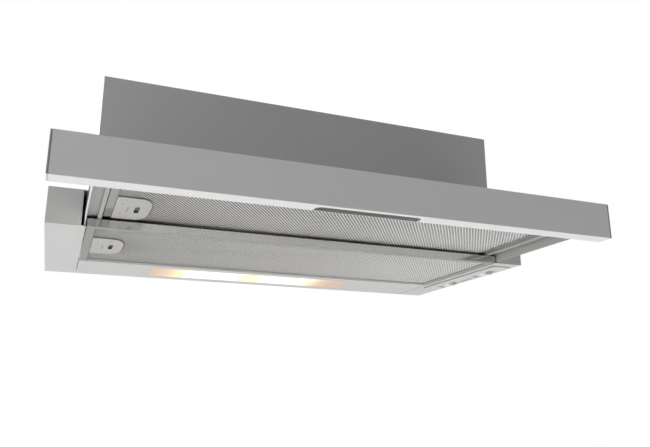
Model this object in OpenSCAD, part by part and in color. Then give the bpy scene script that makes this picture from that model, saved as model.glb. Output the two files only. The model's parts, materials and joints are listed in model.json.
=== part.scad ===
// Pull out range hood: a slim base with a fan housing above it, and a drawer with its own
// grease filter that slides out of the base behind a front bar.
// Millimetres, +Z up, -Y to the cook, +Y to the wall. The origin is the centre of the four
// cabinet screw holes in the top face of the base. The drawer is drawn pulled out.

/* [Hood] */
// Width across the base
hood_w = 600; // [580:1:620]
// Depth of the base, front to back
base_d = 280; // [274:1:300]
// Height of the base
base_h = 40; // [40:0.5:46]
// How far the drawer is pulled out
pull_out = 144; // [120:1:146]
// Thickness of the folded sheet
sheet_t = 0.8; // [0.6:0.1:1]

/* [Front bar] */
// Height of the front bar
bar_h = 40; // [36:0.5:46]
// Depth of the front bar, front to back
bar_d = 20; // [18:0.5:26]
// How far each end of the front bar stops short of the base's side
bar_inset = 1; // [0.5:0.1:2]
// Wall of the front bar
bar_wall = 1.5; // [1:0.1:2]
// Thickness of each end cap
cap_t = 2.2; // [1.5:0.1:4]
// Width of the grip under the bar
grip_w = 116; // [80:1:160]
// Opening of the grip, front to back
grip_d = 13; // [11:0.5:14]
// Depth of the grip's hollow
grip_h = 12; // [8:0.5:16]
// Radius of the grip's front corners
grip_corner = 6.5; // [2:0.5:8]

/* [Base] */
// Width of each side box
box_w = 36; // [35:0.5:39]
// How far the floor of a side box reaches under the drawer
box_lip = 5; // [4.5:0.1:5.5]
// Depth of the strip behind the rear filter
strip_d = 92.4; // [90:0.1:97]
// How far the cabinet screws lie in from the sides
mount_inset = 30; // [27:0.5:31]
// Front to back spacing of the cabinet screws
mount_d = 200; // [160:1:230]
// Radius of a cabinet screw hole
mount_r = 2.75; // [2.2:0.05:3]

/* [Housing] */
// Width of the fan housing
housing_w = 508.5; // [500:0.5:512]
// Height of the fan housing above the base
housing_h = 136.5; // [136:0.5:150]
// How far the housing's face lies behind the base's face
housing_setback = 1.4; // [1:0.1:6]
// Radius of the duct collar
outlet_r = 60; // [59:0.5:62.5]
// Height of the duct collar
outlet_h = 30; // [24:1:40]

/* [Drawer] */
// Gap between a side box and the rail beside it
rail_gap = 3; // [2.5:0.1:3.5]
// Height of the rail's outer wall
rail_h = 30; // [28:0.5:31]
// Thickness of the rail
rail_t = 1; // [0.8:0.1:1.2]
// Width of the rail's ledge
ledge_w = 15.6; // [15:0.1:17]
// Height of the ledge above the underside of the base
ledge_rise = 12.5; // [12.5:0.1:13]

/* [Filters] */
// Height of a filter frame
filter_h = 9; // [8.5:0.1:9.2]
// Width of the rear filter frame's border
rear_border = 9; // [7:0.1:10]
// Width of the front filter frame's border
front_border = 7.7; // [7:0.1:10]
// How high the mesh lies above the underside of its frame
mesh_rise = 1.5; // [1.3:0.1:2]
// Length of a latch plate, front to back
latch_l = 80; // [70:1:90]
// Width of a latch plate
latch_w = 36; // [34:0.5:40]
// Travel of a latch
latch_travel = 4; // [3:0.1:4.5]

/* [Lamps] */
// Width of the lamp lens
lens_w = 296; // [290:1:304]
// Depth of the lamp lens, front to back
lens_d = 59; // [56:1:62]
// How far the lens lies to the left of the middle
lens_shift = 13.4; // [0:0.2:20]
// Radius of a lamp's glass
lamp_r = 12.5; // [11:0.5:13]
// Length of a lamp's glass
lamp_l = 85; // [70:1:90]

/* [Controls] */
// Width of the control plate
panel_w = 28; // [27:0.5:29]
// Length of the control plate
panel_l = 188; // [180:1:196]
// Thickness of the control plate
panel_t = 2; // [1.5:0.1:3]
// Length of a switch window
window_l = 49; // [44:1:52]
// Width of a switch window
window_w = 12; // [10:0.5:13]
// Travel of a switch knob
knob_travel = 26; // [20:1:26]

/* [Fan] */
// Radius of the fan wheel
wheel_r = 48; // [44:0.5:50]
// Width of the fan wheel
wheel_w = 87; // [80:1:90]
// Number of blades on the fan wheel
blade_count = 36; // [24:1:40]
// Radius of the motor
motor_r = 31; // [26:0.5:32]

/* [Hidden] */
$fn = 48;

// Clearances, the same all over the hood
over = 1;
seat = 0.3;
fit = 0.1;
shaft_fit = 0.05;
filter_gap = 0.6;
front_gap = 1.2;

// Faces of the base
half_w = hood_w / 2;
front_y = -base_d / 2;
back_y = base_d / 2;
floor_z = -base_h;
floor_top = floor_z + sheet_t;
roof_z = -sheet_t;
box_in = half_w - box_w;
lip_x = box_in - box_lip;
lintel_h = 5.5;

// Small screws and rivets
screw_r = 1.9;
screw_hole_r = screw_r + fit;
screw_head_r = 3.4;
screw_head_h = 1.8;
screw_l = 7;
rivet_r = 1.5;
rivet_head_r = 2.2;
rivet_head_h = 0.6;

// Front bar, pulled out
bar_back = front_y - seat - pull_out;
bar_front = bar_back - bar_d;
bar_low = floor_z;
bar_top = bar_low + bar_h;
bar_end_x = half_w - bar_inset;
bar_x = bar_end_x - cap_t;
grip_lip = 0.6;
grip_back = bar_back - grip_lip;
grip_front = grip_back - grip_d;
grip_wall = 0.6;
cap_plug = 6;
bar_screw_shares = [-0.85, -0.3, 0.3, 0.85];
bar_screw_drop = 7;

// Rail section
rail_out = box_in - rail_gap;
rail_in = rail_out - rail_t;
rail_low = floor_top + seat;
rail_top = rail_low + rail_h;
ledge_z = floor_z + ledge_rise;
ledge_top = ledge_z + rail_t;
rail_edge = rail_in - ledge_w;
hem_w = 4.1;
hem_h = 3;
upstand_h = 8.5;
upstand_top = ledge_top + upstand_h;
upstand_x = rail_edge + rail_t;
bar_screw_x = [for (share = bar_screw_shares) share * rail_edge];
bar_screw_z = rail_top - bar_screw_drop;

// Rails, measured from the closed drawer
rail_room = 11.3;
rail_l = base_d - rail_room;
rail_back = bar_back + rail_l;

// Rear filter
rear_filter_x = lip_x - filter_gap;
rear_filter_y0 = front_y;
rear_filter_d = base_d - strip_d - filter_gap;
rear_filter_y1 = rear_filter_y0 + rear_filter_d;

// Front filter and the cross pieces before and behind it
nose_d = 27.7;
cross_d = 9;
front_filter_x = rail_edge - front_gap;
front_filter_y0 = bar_back + nose_d;
front_filter_d = rear_filter_d - nose_d - cross_d - 2 * seat;
front_filter_y1 = front_filter_y0 + front_filter_d;
front_rise = 11;
front_filter_z = floor_z + front_rise;
cross_y = front_filter_y1 + seat;

// Filter frames and their tabs
frame_t = 0.8;
tab_l = 20;
tab_share = 0.28;
rear_tab_x = rail_in - seat;
rear_tab_z = floor_top + seat;
rear_tab_h = 1.4;
tab_reach = 1;
front_tab_x = upstand_x + tab_reach;
front_tab_z = ledge_top + 2 * seat;
front_tab_h = 1.9;
tab_y = [-tab_share * front_filter_d, tab_share * front_filter_d];
front_mid = (front_filter_y0 + front_filter_y1) / 2;
rear_mid = (rear_filter_y0 + rear_filter_y1) / 2;

// Ears that rivet the crossbar to the rails
ear_x = rail_edge - frame_t;
ear_z = [ledge_top + 2 * seat, upstand_top - 2 * seat];
cross_rivet_y = cross_y + cross_d / 2;
cross_rivet_z = (ear_z[0] + ear_z[1]) / 2;

// Latches, measured from the edge of their filter
latch_sink = 0.2;
latch_t = mesh_rise - latch_sink - seat;
corner_w = 13;
corner_l = 28;
corner_turn = 9;
latch_side_gap = 0.5;
boss_w = 30;
boss_l = 40;
boss_h = 6;
neck_l = 30;
neck_h = 2;
neck_rise = front_tab_z - front_filter_z;
slot_w = 4.6;
slot_l = 24;
slot_depth = 5.4;
slot_shallow = 1.4;
slot_x = 22.5;

// Ball bearing runners
runner_rise = 26;
runner_z = floor_z + runner_rise;
runner_t = 1.2;
ball_r = 1.5;
inner_half = 6.5;
ball_z = inner_half + fit + ball_r;
outer_in = ball_z + ball_r + fit;
outer_half = outer_in + runner_t;
runner_in_w = 9;
runner_in_x = rail_in - runner_in_w;
web_clear = 1.3;
outer_web_x = runner_in_x - web_clear;
flange_clear = 2;
outer_flange_x = rail_in - flange_clear;
hanger_t = 1.2;
hanger_x = outer_web_x - runner_t - hanger_t;
hanger_flange = 10;
runner_y0 = front_y + sheet_t + seat;
runner_room = 42;
runner_outer_l = base_d - runner_room;
inner_setback = 6;
inner_tail = 5;
inner_y0 = bar_back + inner_setback;
inner_y1 = rail_back - inner_tail;
cage_t = 0.6;
cage_web_x = outer_web_x + seat;
cage_flange_w = 6;
cage_flange_x = cage_web_x + cage_flange_w;
cage_l = 92;
cage_setback = 12;
cage_y0 = front_y + cage_setback;
ball_inset = 3.5;
ball_x = cage_web_x + ball_inset;
ball_count = 8;
ball_pitch = 11;
ball_margin = 7.5;
ball_y0 = cage_y0 + ball_margin;
rivet_count = 3;
rivet_margin = 24;
rivet_tail = 34;
rivet_y0 = runner_y0 + rivet_margin;
rivet_pitch = (runner_outer_l - rivet_margin - rivet_tail) / (rivet_count - 1);

// Air opening and the strip behind the rear filter
air_x = hanger_x - hanger_flange - seat;
air_front_w = 14;
air_back_w = 7;
air_y0 = front_y + air_front_w;
air_y1 = rear_filter_y1 - air_back_w;
strip_x = rear_filter_x;
strip_y = back_y - strip_d;

// Lamp bay
lens_x = -lens_shift;
lens_margin = 14.3;
lens_y = strip_y + lens_margin + lens_d / 2;
lens_gap = 0.5;
lens_t = 1.6;
lens_rim = 6;
lens_tab_w = 6;
lens_tab_l = 5;
lens_tab_t = 1.2;
tray_wall = 0.7;
tray_margin = 4;
tray_h = 36;
tray_top_w = 44;
tray_end = 9;
tray_rim = 3;
lamp_rise = 20.5;
lamp_z = floor_z + lamp_rise;
lamp_cap_r = 6.8;
lamp_cap_l = 18;
holder_r = 12.5;
holder_l = 28;
holder_foot_w = 12;
holder_room = 25;
lamp_far = lens_w / 2 + tray_end - holder_room - holder_l;
lamp_near = lamp_far - lamp_l;
lamp_lead_gap = 9.4;
lamp_lead_x = lens_x + lens_w / 2 + tray_end + lamp_lead_gap;

// Control plate and slide switches
panel_inset = 20;
panel_setback = 15.4;
panel_x = half_w - panel_inset;
panel_y = front_y + panel_setback;
switch_inset = 15;
light_setback = 65.9;
fan_setback = 160.4;
switch_x = half_w - switch_inset;
light_switch_y = front_y + light_setback;
fan_switch_y = front_y + fan_setback;
switch_w = 20;
switch_l = 62;
switch_h = 13;
stem_w = 5;
stem_h = 7;
knob_clear = 1;
knob_w = window_w - knob_clear;
knob_l = window_l - knob_travel - knob_clear;
knob_proud = 0.3;
knob_fin = 1.8;
knob_fin_t = 1.6;

// Drawer switch at the back wall, on the left
micro_inset = 8;
micro_x = micro_inset - rail_in;
micro_w = 12;
micro_h = 18;
micro_d = 8;
micro_z = ledge_z + rail_t / 2;
plunger_r = 1.2;
plunger_l = 5.6;
plunger_travel = 1.5;
plunger_tip = bar_back + pull_out + rail_l + seat;
micro_front = back_y - sheet_t - micro_d;

// Housing
housing_x = housing_w / 2;
housing_y0 = front_y + housing_setback;
back_inset = 2;
housing_back_y = back_y - back_inset;
housing_y1 = housing_back_y - sheet_t;
fold_w = 10;
back_screw_x = housing_x - fold_w / 2;
back_screw_shares = [0.2, 0.75];
top_screw_share = 0.55;

// Fan: the scroll's axis runs left to right, and its outlet goes straight up
fan_y = -5;
fan_z = 72;
scroll_side_gap = 6.5;
scroll_x = wheel_w / 2 + scroll_side_gap;
scroll_wall = 1;
scroll_gap = 6;
scroll_growth = 22;
scroll_small = wheel_r + scroll_gap;
scroll_large = scroll_small + scroll_growth;
tongue_angle = 70;
spiral_steps = 32;
inlet_step = 10;
inlet_r = wheel_r - inlet_step;
tongue_y = scroll_small * cos(tongue_angle);
collar_y = fan_y + (tongue_y + scroll_large) / 2;
duct_flange = 104;
duct_flange_t = 1;
blade_t = 0.9;
blade_chord = 9;
blade_angle = 55;
rim_t = 1.5;
disc_t = 2;
hub_r = 9;
hub_l = 6;
shaft_r = 4;
shaft_in = 24;
shaft_out = 9;
motor_face = 8;
motor_l = 46;
motor_cap_r = 24;
motor_cap_l = 8;
mount_ring = 3;
bracket_t = 2;
bracket_bore = motor_cap_r + fit;
rubber_r = 6;
rubber_l = 5;
rubber_margin = 3;
rubber_at = inlet_r + rubber_margin + rubber_r;
arm_w = 13;
arm_count = 3;
arm_angle = 90;

// Duct collar and its two flaps
collar_wall = 2;
collar_flange_w = 10;
collar_flange_r = outlet_r + collar_flange_w;
collar_flange_t = 1.5;
collar_screw_r = outlet_r + collar_flange_w / 2;
ledge_in = 2.5;
flap_rise = 9;
flap_z = housing_h + flap_rise;
flap_t = 1;
flap_clear = 0.8;
flap_r = outlet_r - collar_wall - flap_clear;
pin_r = 1.5;
knuckle_r = 2.8;
knuckle_count = 6;
knuckle_gap = 0.4;
knuckle_clear = 0.5;
flap_edge = knuckle_r + knuckle_clear;

// Electrical parts inside the housing
lead_in_x = 8;
lead_in_y = 9.4;
terminal_x = lamp_lead_x - lead_in_x;
terminal_w = 80;
terminal_y = lens_y - lead_in_y;
terminal_d = 48;
terminal_h = 28;
terminal_wall = 2;
cover_t = 2;
capacitor_r = 14;
capacitor_l = 62;
capacitor_in_x = 15;
capacitor_gap = 10;
capacitor_x = terminal_x + capacitor_in_x;
capacitor_y = terminal_y - capacitor_gap - 2 * capacitor_r;
capacitor_stud_r = 4;
gland_in_x = 55;
gland_in_y = 26;
gland_x = terminal_x + gland_in_x;
gland_y = terminal_y + gland_in_y;
gland_r = 8;
gland_hex_r = 12;
gland_hex_h = 8;
gland_in = 9;
cord_r = 3.75;
lead_r = 2.5;
lead_fit = 0.5;
lead_hole_r = lead_r + lead_fit;
lead_low = 20;
lead_back_in = 2;
lead_back_y = terminal_y + terminal_d - lead_back_in;
switch_lead_x = 238;
switch_lead_inset = 7.5;
switch_lead_y = back_y - switch_lead_inset;
switch_lead_z = -9;
motor_lead_x = -95;

// Colours
bar_grey = "#9c9c9c";
cap_grey = "#6f6f6f";
housing_grey = "#8c8c8c";
base_grey = "#cccac8";
rail_grey = "#a8a5a1";
zinc = "#b9bbbd";
frame_grey = "#a5a6a7";
mesh_grey = "#b0aeaa";
latch_white = "#c8c5c1";
panel_white = "#dcdad6";
black = "#2c2c2e";
copper = "#9a7a4c";
glass = "#f4e2b8";

// Range that reaches the same way to both sides of a middle
function about(middle, reach) = [middle - reach, middle + reach];

// Range made longer at both ends, so that a cut runs past its faces
function past(range, more = over) = [range[0] - more, range[1] + more];

// Box between two corners, given as its ranges along X, Y and Z
module span(x, y, z) {
  translate([x[0], y[0], z[0]]) cube([x[1] - x[0], y[1] - y[0], z[1] - z[0]]);
}

// Flat outline in X and Z, drawn out along Y
module along_y(y) {
  translate([0, y[1], 0]) rotate([90, 0, 0]) linear_extrude(y[1] - y[0]) children();
}

// Flat outline in Y and Z, drawn out along X
module along_x(x) {
  translate([x[0], 0, 0]) rotate([90, 0, 90]) linear_extrude(x[1] - x[0]) children();
}

// Round bar along X or along Y
module bar_x_way(x, y, z, r) {
  translate([x[0], y, z]) rotate([0, 90, 0]) cylinder(r = r, h = x[1] - x[0]);
}
module bar_y_way(x, y, z, r) {
  translate([x, y[1], z]) rotate([90, 0, 0]) cylinder(r = r, h = y[1] - y[0]);
}

// The left side is the mirror image of the right one
module on_side(side) {
  if (side < 0) mirror([1, 0, 0]) children();
  else children();
}

// Screw whose head sits on the origin and whose shank points down
module screw(shank) {
  difference() {
    cylinder(r = screw_head_r, h = screw_head_h);
    translate([0, 0, screw_head_h / 2]) cylinder(r = screw_r, h = screw_head_h, $fn = 6);
  }
  translate([0, 0, -shank]) cylinder(r = screw_r, h = shank);
}

// Rivet through two sheets, with a head on both sides
module rivet(grip) {
  cylinder(r = rivet_head_r, h = rivet_head_h);
  translate([0, 0, -grip]) cylinder(r = rivet_r, h = grip);
  translate([0, 0, -grip - rivet_head_h]) cylinder(r = rivet_head_r, h = rivet_head_h);
}

// Front bar

// Upright slot with two round front corners, smaller than the grip's opening by the inset
module grip_slot(inset, z) {
  x = about(0, grip_w / 2 - inset);
  y = past([grip_front, grip_back], -inset);
  r = grip_corner - inset;
  span(x, [y[0] + r, y[1]], z);
  span(past(x, -r), y, z);
  for (a = past(x, -r)) translate([a, y[0] + r, z[0]]) cylinder(r = r, h = z[1] - z[0]);
}

module front_bar() {
  color(bar_grey) difference() {
    span(about(0, bar_x), [bar_front, bar_back], [bar_low, bar_top]);
    span(about(0, half_w), [bar_front + bar_wall, bar_back - bar_wall],
      [bar_low + bar_wall, bar_top - bar_wall]);
    grip_slot(0, [bar_low - over, bar_low + grip_h + grip_wall]);
    for (x = bar_screw_x) bar_y_way(x, past([bar_back - bar_wall, bar_back]), bar_screw_z, screw_hole_r);
  }
}

module end_cap(side) {
  color(cap_grey) on_side(side) union() {
    span([bar_x, bar_end_x], [bar_front, bar_back], [bar_low, bar_top]);
    span([bar_x - cap_plug, bar_x], [bar_front + bar_wall + fit, bar_back - bar_wall - fit],
      [bar_low + bar_wall + fit, bar_top - bar_wall - fit]);
  }
}

module grip_liner() {
  color(cap_grey) difference() {
    grip_slot(0, [bar_low, bar_low + grip_h + grip_wall]);
    grip_slot(grip_wall, [bar_low - over, bar_low + grip_h]);
  }
}

// Drawer

module rail_section() {
  translate([rail_in, rail_low]) square([rail_t, rail_h]);
  translate([rail_edge, ledge_z]) square([rail_in - rail_edge, rail_t]);
  translate([rail_edge, ledge_z - hem_h]) square([hem_w, hem_h]);
  translate([rail_edge, ledge_top]) square([rail_t, upstand_h]);
}

module drawer_rail(side) {
  color(rail_grey) on_side(side) difference() {
    along_y([bar_back, rail_back]) rail_section();
    bar_x_way(past([rail_edge, upstand_x]), cross_rivet_y, cross_rivet_z, rivet_r + fit);
    if (side > 0) {
      for (y = tab_y) span(past([rail_edge, upstand_x]), about(front_mid + y, tab_l / 2 + seat),
        past([front_tab_z, front_tab_z + front_tab_h], seat));
    } else {
      span(past([rail_edge, upstand_x]), about(front_mid, neck_l / 2 + seat),
        past([front_filter_z + neck_rise, front_filter_z + neck_rise + neck_h], seat));
    }
  }
}

module drawer_front_panel() {
  color(zinc) difference() {
    union() {
      span(about(0, rail_in), [bar_back, bar_back + sheet_t], [ledge_top, rail_top]);
      span(about(0, front_filter_x), [bar_back, bar_back + sheet_t], [front_filter_z, ledge_top]);
      span(about(0, front_filter_x), [bar_back, front_filter_y0 - seat],
        [front_filter_z, front_filter_z + sheet_t]);
    }
    for (s = [-1, 1]) on_side(s) span(past([rail_edge, upstand_x], seat),
      past([bar_back, bar_back + sheet_t]), [ledge_top - over, upstand_top + seat]);
    for (x = bar_screw_x) bar_y_way(x, past([bar_back, bar_back + sheet_t]), bar_screw_z, screw_hole_r);
  }
}

module drawer_crossbar() {
  color(zinc) difference() {
    union() {
      span(about(0, upstand_x), [cross_y, cross_y + cross_d], [upstand_top, upstand_top + sheet_t]);
      span(about(0, ear_x), [cross_y + cross_d - sheet_t, cross_y + cross_d], [front_filter_z, upstand_top]);
      for (s = [-1, 1]) on_side(s)
        span([ear_x, rail_edge], [cross_y, cross_y + cross_d], [ear_z[0], upstand_top]);
    }
    for (s = [-1, 1]) on_side(s)
      bar_x_way(past([ear_x, rail_edge]), cross_rivet_y, cross_rivet_z, rivet_r + fit);
  }
}

module drawer_fasteners() {
  color(zinc) {
    for (x = bar_screw_x) translate([x, bar_back + sheet_t, bar_screw_z])
      rotate([-90, 0, 0]) screw(screw_l);
    for (s = [-1, 1]) on_side(s)
      translate([upstand_x, cross_rivet_y, cross_rivet_z]) rotate([0, 90, 0]) rivet(rail_t + frame_t);
  }
}

// Ball bearing runners

module runner_inner(side) {
  color(zinc) on_side(side) difference() {
    span([runner_in_x, rail_in], [inner_y0, inner_y1], about(runner_z, inner_half));
    span([runner_in_x - over, rail_in - runner_t], past([inner_y0, inner_y1]),
      about(runner_z, inner_half - runner_t));
  }
}

module runner_outer(side) {
  y1 = runner_y0 + runner_outer_l;
  color(zinc) on_side(side) difference() {
    span([outer_web_x - runner_t, outer_flange_x], [runner_y0, y1], about(runner_z, outer_half));
    span([outer_web_x, outer_flange_x + over], past([runner_y0, y1]), about(runner_z, outer_in));
  }
}

module runner_hanger(side) {
  y1 = runner_y0 + runner_outer_l;
  color(zinc) on_side(side) difference() {
    union() {
      span([hanger_x, hanger_x + hanger_t], [runner_y0, y1], [runner_z - outer_half, roof_z]);
      span([hanger_x - hanger_flange, hanger_x], [runner_y0, y1], [roof_z - hanger_t, roof_z]);
    }
    for (i = [0 : rivet_count - 1]) translate([hanger_x - hanger_flange / 2, rivet_y0 + i * rivet_pitch,
      roof_z - hanger_t - over]) cylinder(r = rivet_r + fit, h = hanger_t + 2 * over);
  }
}

module hanger_rivets() {
  color(zinc) for (s = [-1, 1]) on_side(s) for (i = [0 : rivet_count - 1])
    translate([hanger_x - hanger_flange / 2, rivet_y0 + i * rivet_pitch, 0]) rivet(sheet_t + hanger_t);
}

module ball_places() {
  for (z = about(0, ball_z)) for (i = [0 : ball_count - 1])
    translate([ball_x, ball_y0 + i * ball_pitch, runner_z + z]) children();
}

module ball_cage(side) {
  reach = ball_z + cage_t / 2;
  color(copper) on_side(side) difference() {
    span([cage_web_x, cage_flange_x], [cage_y0, cage_y0 + cage_l], about(runner_z, reach));
    span([cage_web_x + cage_t, cage_flange_x + over], past([cage_y0, cage_y0 + cage_l]),
      about(runner_z, reach - cage_t));
    ball_places() translate([0, 0, -over]) cylinder(r = ball_r + fit, h = 2 * over);
  }
}

module runner_balls() {
  color(zinc) for (s = [-1, 1]) on_side(s) ball_places() sphere(r = ball_r);
}

// Grease filters

// Frame of folded strip: a border below, a border above and a hem that the mesh lies on
module filter_frame(half, y, z, border) {
  difference() {
    union() {
      difference() {
        span(about(0, half), y, [z, z + filter_h]);
        span(about(0, half - frame_t), past(y, -frame_t), past([z, z + filter_h], -frame_t));
      }
      span(about(0, half - border + frame_t), past(y, frame_t - border), [z, z + mesh_rise]);
    }
    span(about(0, half - border), past(y, -border), past([z, z + filter_h]));
  }
}

// Pack of mesh layers inside a frame, with a pocket for the latch
module filter_mesh(half, y, z, border) {
  mid = (y[0] + y[1]) / 2;
  inset = frame_t + 2 * fit;
  difference() {
    span(about(0, half - inset), past(y, -inset), [z + mesh_rise, z + filter_h - frame_t]);
    span([-half + inset - over, -half + border + latch_side_gap + boss_w + latch_travel + seat],
      about(mid, boss_l / 2 + seat),
      [z + mesh_rise - over, z + mesh_rise + boss_h]);
  }
}

// Plate whose free edge ends in two long rounded corners
module latch_plate() {
  side = latch_w - corner_w;
  polygon(concat(
    [[0, latch_l], [0, 0]],
    [for (a = [-90 : corner_turn : 0]) [side + corner_w * cos(a), corner_l + corner_l * sin(a)]],
    [for (a = [0 : corner_turn : 90]) [side + corner_w * cos(a), latch_l - corner_l + corner_l * sin(a)]]));
}

// Finger slot with round ends, whose floor slopes from the front down to the back
module finger_slot() {
  intersection() {
    union() {
      for (s = [-1, 1]) translate([0, s * (slot_l - slot_w) / 2, -over])
        cylinder(r = slot_w / 2, h = slot_depth + 2 * over);
      span(about(0, slot_w / 2), about(0, (slot_l - slot_w) / 2), [-over, slot_depth + over]);
    }
    along_x(about(0, slot_w)) polygon([[-slot_l, -over], [slot_l, -over], [slot_l, slot_depth],
      [slot_l / 2, slot_depth], [-slot_l / 2, slot_shallow], [-slot_l, slot_shallow]]);
  }
}

// Latch: finger plate below the mesh, boss with the finger slot, and the tongue over the border
module filter_latch(half, y, z, border, tongue_x, tongue_z) {
  mid = (y[0] + y[1]) / 2;
  x0 = -half + border + latch_side_gap;
  low = z + latch_sink;
  neck_z = z + neck_rise;
  difference() {
    union() {
      translate([x0, mid - latch_l / 2, low]) linear_extrude(latch_t) latch_plate();
      span([x0, x0 + boss_w], about(mid, boss_l / 2), [low, low + boss_h]);
      span([-tongue_x, x0 + over], about(mid, neck_l / 2), [neck_z, neck_z + neck_h]);
      span([-tongue_x, border - half - frame_t - latch_travel - seat], about(mid, neck_l / 2),
        [tongue_z, neck_z + neck_h]);
    }
    translate([x0 + slot_x, mid, low]) finger_slot();
  }
}

// Slot in the frame's left wall for the tongue
module tongue_slot(half, mid, z0, z1) {
  span(past([-half, -half + frame_t]), about(mid, neck_l / 2 + seat), past([z0, z1], seat));
}

module front_filter_frame() {
  neck_z = front_filter_z + neck_rise;
  color(frame_grey) difference() {
    union() {
      filter_frame(front_filter_x, [front_filter_y0, front_filter_y1], front_filter_z, front_border);
      for (y = tab_y) span([front_filter_x - frame_t, front_tab_x], about(front_mid + y, tab_l / 2),
        [front_tab_z, front_tab_z + front_tab_h]);
    }
    tongue_slot(front_filter_x, front_mid, neck_z, neck_z + neck_h);
  }
}

module front_filter_mesh() {
  color(mesh_grey)
    filter_mesh(front_filter_x, [front_filter_y0, front_filter_y1], front_filter_z, front_border);
}

module front_filter_latch() {
  color(latch_white) filter_latch(front_filter_x, [front_filter_y0, front_filter_y1], front_filter_z,
    front_border, front_tab_x, front_filter_z + neck_rise);
}

module rear_filter_frame() {
  color(frame_grey) difference() {
    union() {
      filter_frame(rear_filter_x, [rear_filter_y0, rear_filter_y1], floor_z, rear_border);
      for (y = tab_y) span([rear_filter_x - frame_t, rear_tab_x], about(rear_mid + y, tab_l / 2),
        [rear_tab_z, rear_tab_z + rear_tab_h]);
    }
    tongue_slot(rear_filter_x, rear_mid, rear_tab_z, floor_z + neck_rise + neck_h);
  }
}

module rear_filter_mesh() {
  color(mesh_grey) filter_mesh(rear_filter_x, [rear_filter_y0, rear_filter_y1], floor_z, rear_border);
}

module rear_filter_latch() {
  color(latch_white) filter_latch(rear_filter_x, [rear_filter_y0, rear_filter_y1], floor_z,
    rear_border, rear_tab_x, rear_tab_z);
}

// Base

module side_box(side) {
  color(base_grey) on_side(side) difference() {
    union() {
      span([lip_x, half_w], [front_y, back_y], [floor_z, floor_top]);
      span([half_w - sheet_t, half_w], [front_y, back_y], [floor_z, roof_z]);
      span([box_in, box_in + sheet_t], [front_y, back_y], [floor_z, roof_z]);
      span([box_in, half_w], [front_y, front_y + sheet_t], [floor_z, roof_z]);
      span([box_in, half_w], [back_y - sheet_t, back_y], [floor_z, roof_z]);
    }
    if (side > 0) {
      for (y = [light_switch_y, fan_switch_y]) window_cut(y);
      bar_x_way([box_in - over, box_in + sheet_t + over], switch_lead_y, switch_lead_z, lead_hole_r);
    }
  }
}

module base_top_plate() {
  color(base_grey) difference() {
    union() {
      span(about(0, half_w), [front_y, back_y], [roof_z, 0]);
      span(about(0, rail_in), [front_y, front_y + sheet_t], [roof_z - lintel_h, roof_z]);
    }
    span(about(0, air_x), [air_y0, air_y1], [roof_z - over, over]);
    for (x = past(about(0, half_w), -mount_inset)) for (y = about(0, mount_d / 2))
      translate([x, y, roof_z - over]) cylinder(r = mount_r, h = sheet_t + 2 * over);
    for (s = [-1, 1]) on_side(s) for (i = [0 : rivet_count - 1])
      translate([hanger_x - hanger_flange / 2, rivet_y0 + i * rivet_pitch, roof_z - over])
        cylinder(r = rivet_r + fit, h = sheet_t + 2 * over);
    for (place = [[switch_lead_x, switch_lead_y], [lamp_lead_x, lens_y]])
      translate([place[0], place[1], roof_z - over]) cylinder(r = lead_hole_r, h = sheet_t + 2 * over);
  }
}

module rear_strip() {
  color(base_grey) difference() {
    union() {
      span(about(0, strip_x), [strip_y, back_y], [floor_z, floor_top]);
      span(about(0, strip_x), [strip_y, strip_y + sheet_t], [floor_z, floor_z + filter_h]);
      span(about(0, strip_x), [back_y - sheet_t, back_y], [floor_z, roof_z]);
    }
    span(about(lens_x, lens_w / 2 + lens_gap), about(lens_y, lens_d / 2 + lens_gap),
      past([floor_z, floor_top]));
  }
}

// Control plate and switches

module window_cut(y) {
  span(about(switch_x, window_w / 2), about(y, window_l / 2),
    [floor_z - panel_t - over, floor_top + over]);
}

module control_plate() {
  color(panel_white) difference() {
    span(about(panel_x, panel_w / 2), [panel_y, panel_y + panel_l], [floor_z - panel_t, floor_z]);
    for (y = [light_switch_y, fan_switch_y]) window_cut(y);
  }
}

module slide_switch(y) {
  color(black) difference() {
    span(about(switch_x, switch_w / 2), about(y, switch_l / 2),
      [floor_top, floor_top + switch_h]);
    span(about(switch_x, stem_w / 2 + seat), about(y, (knob_travel + stem_w) / 2 + seat),
      [floor_top - over, floor_top + stem_h + seat]);
  }
}

module knob(y) {
  low = floor_z - panel_t - knob_proud;
  fin_y = y - knob_l / 2;
  color(panel_white) union() {
    span(about(switch_x, knob_w / 2), about(y, knob_l / 2), [low, floor_z]);
    span(about(switch_x, knob_w / 2), [fin_y, fin_y + knob_fin_t], [low - knob_fin, low]);
    span(about(switch_x, stem_w / 2), about(y, stem_w / 2),
      [floor_z, floor_top + stem_h]);
  }
}

module light_switch() slide_switch(light_switch_y);
module fan_switch() slide_switch(fan_switch_y);
module light_knob() knob(light_switch_y);
module fan_knob() knob(fan_switch_y);

module drawer_switch() {
  color(black) difference() {
    span(about(micro_x, micro_w / 2), [micro_front, back_y - sheet_t],
      about(micro_z, micro_h / 2));
    bar_y_way(micro_x, [micro_front - over, plunger_tip + plunger_l + plunger_travel + seat], micro_z,
      plunger_r + shaft_fit);
  }
}

module drawer_switch_plunger() {
  color(latch_white) bar_y_way(micro_x, [plunger_tip, plunger_tip + plunger_l], micro_z, plunger_r);
}

// Lamps

// Cross section of the lamp tray, wide at the lens and narrow at the roof
module tray_section(inset, h) {
  wide = lens_d / 2 + tray_margin - inset;
  narrow = tray_top_w / 2 - inset;
  polygon([[lens_y - wide, floor_top], [lens_y + wide, floor_top],
    [lens_y + narrow, floor_top + h], [lens_y - narrow, floor_top + h]]);
}

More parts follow.
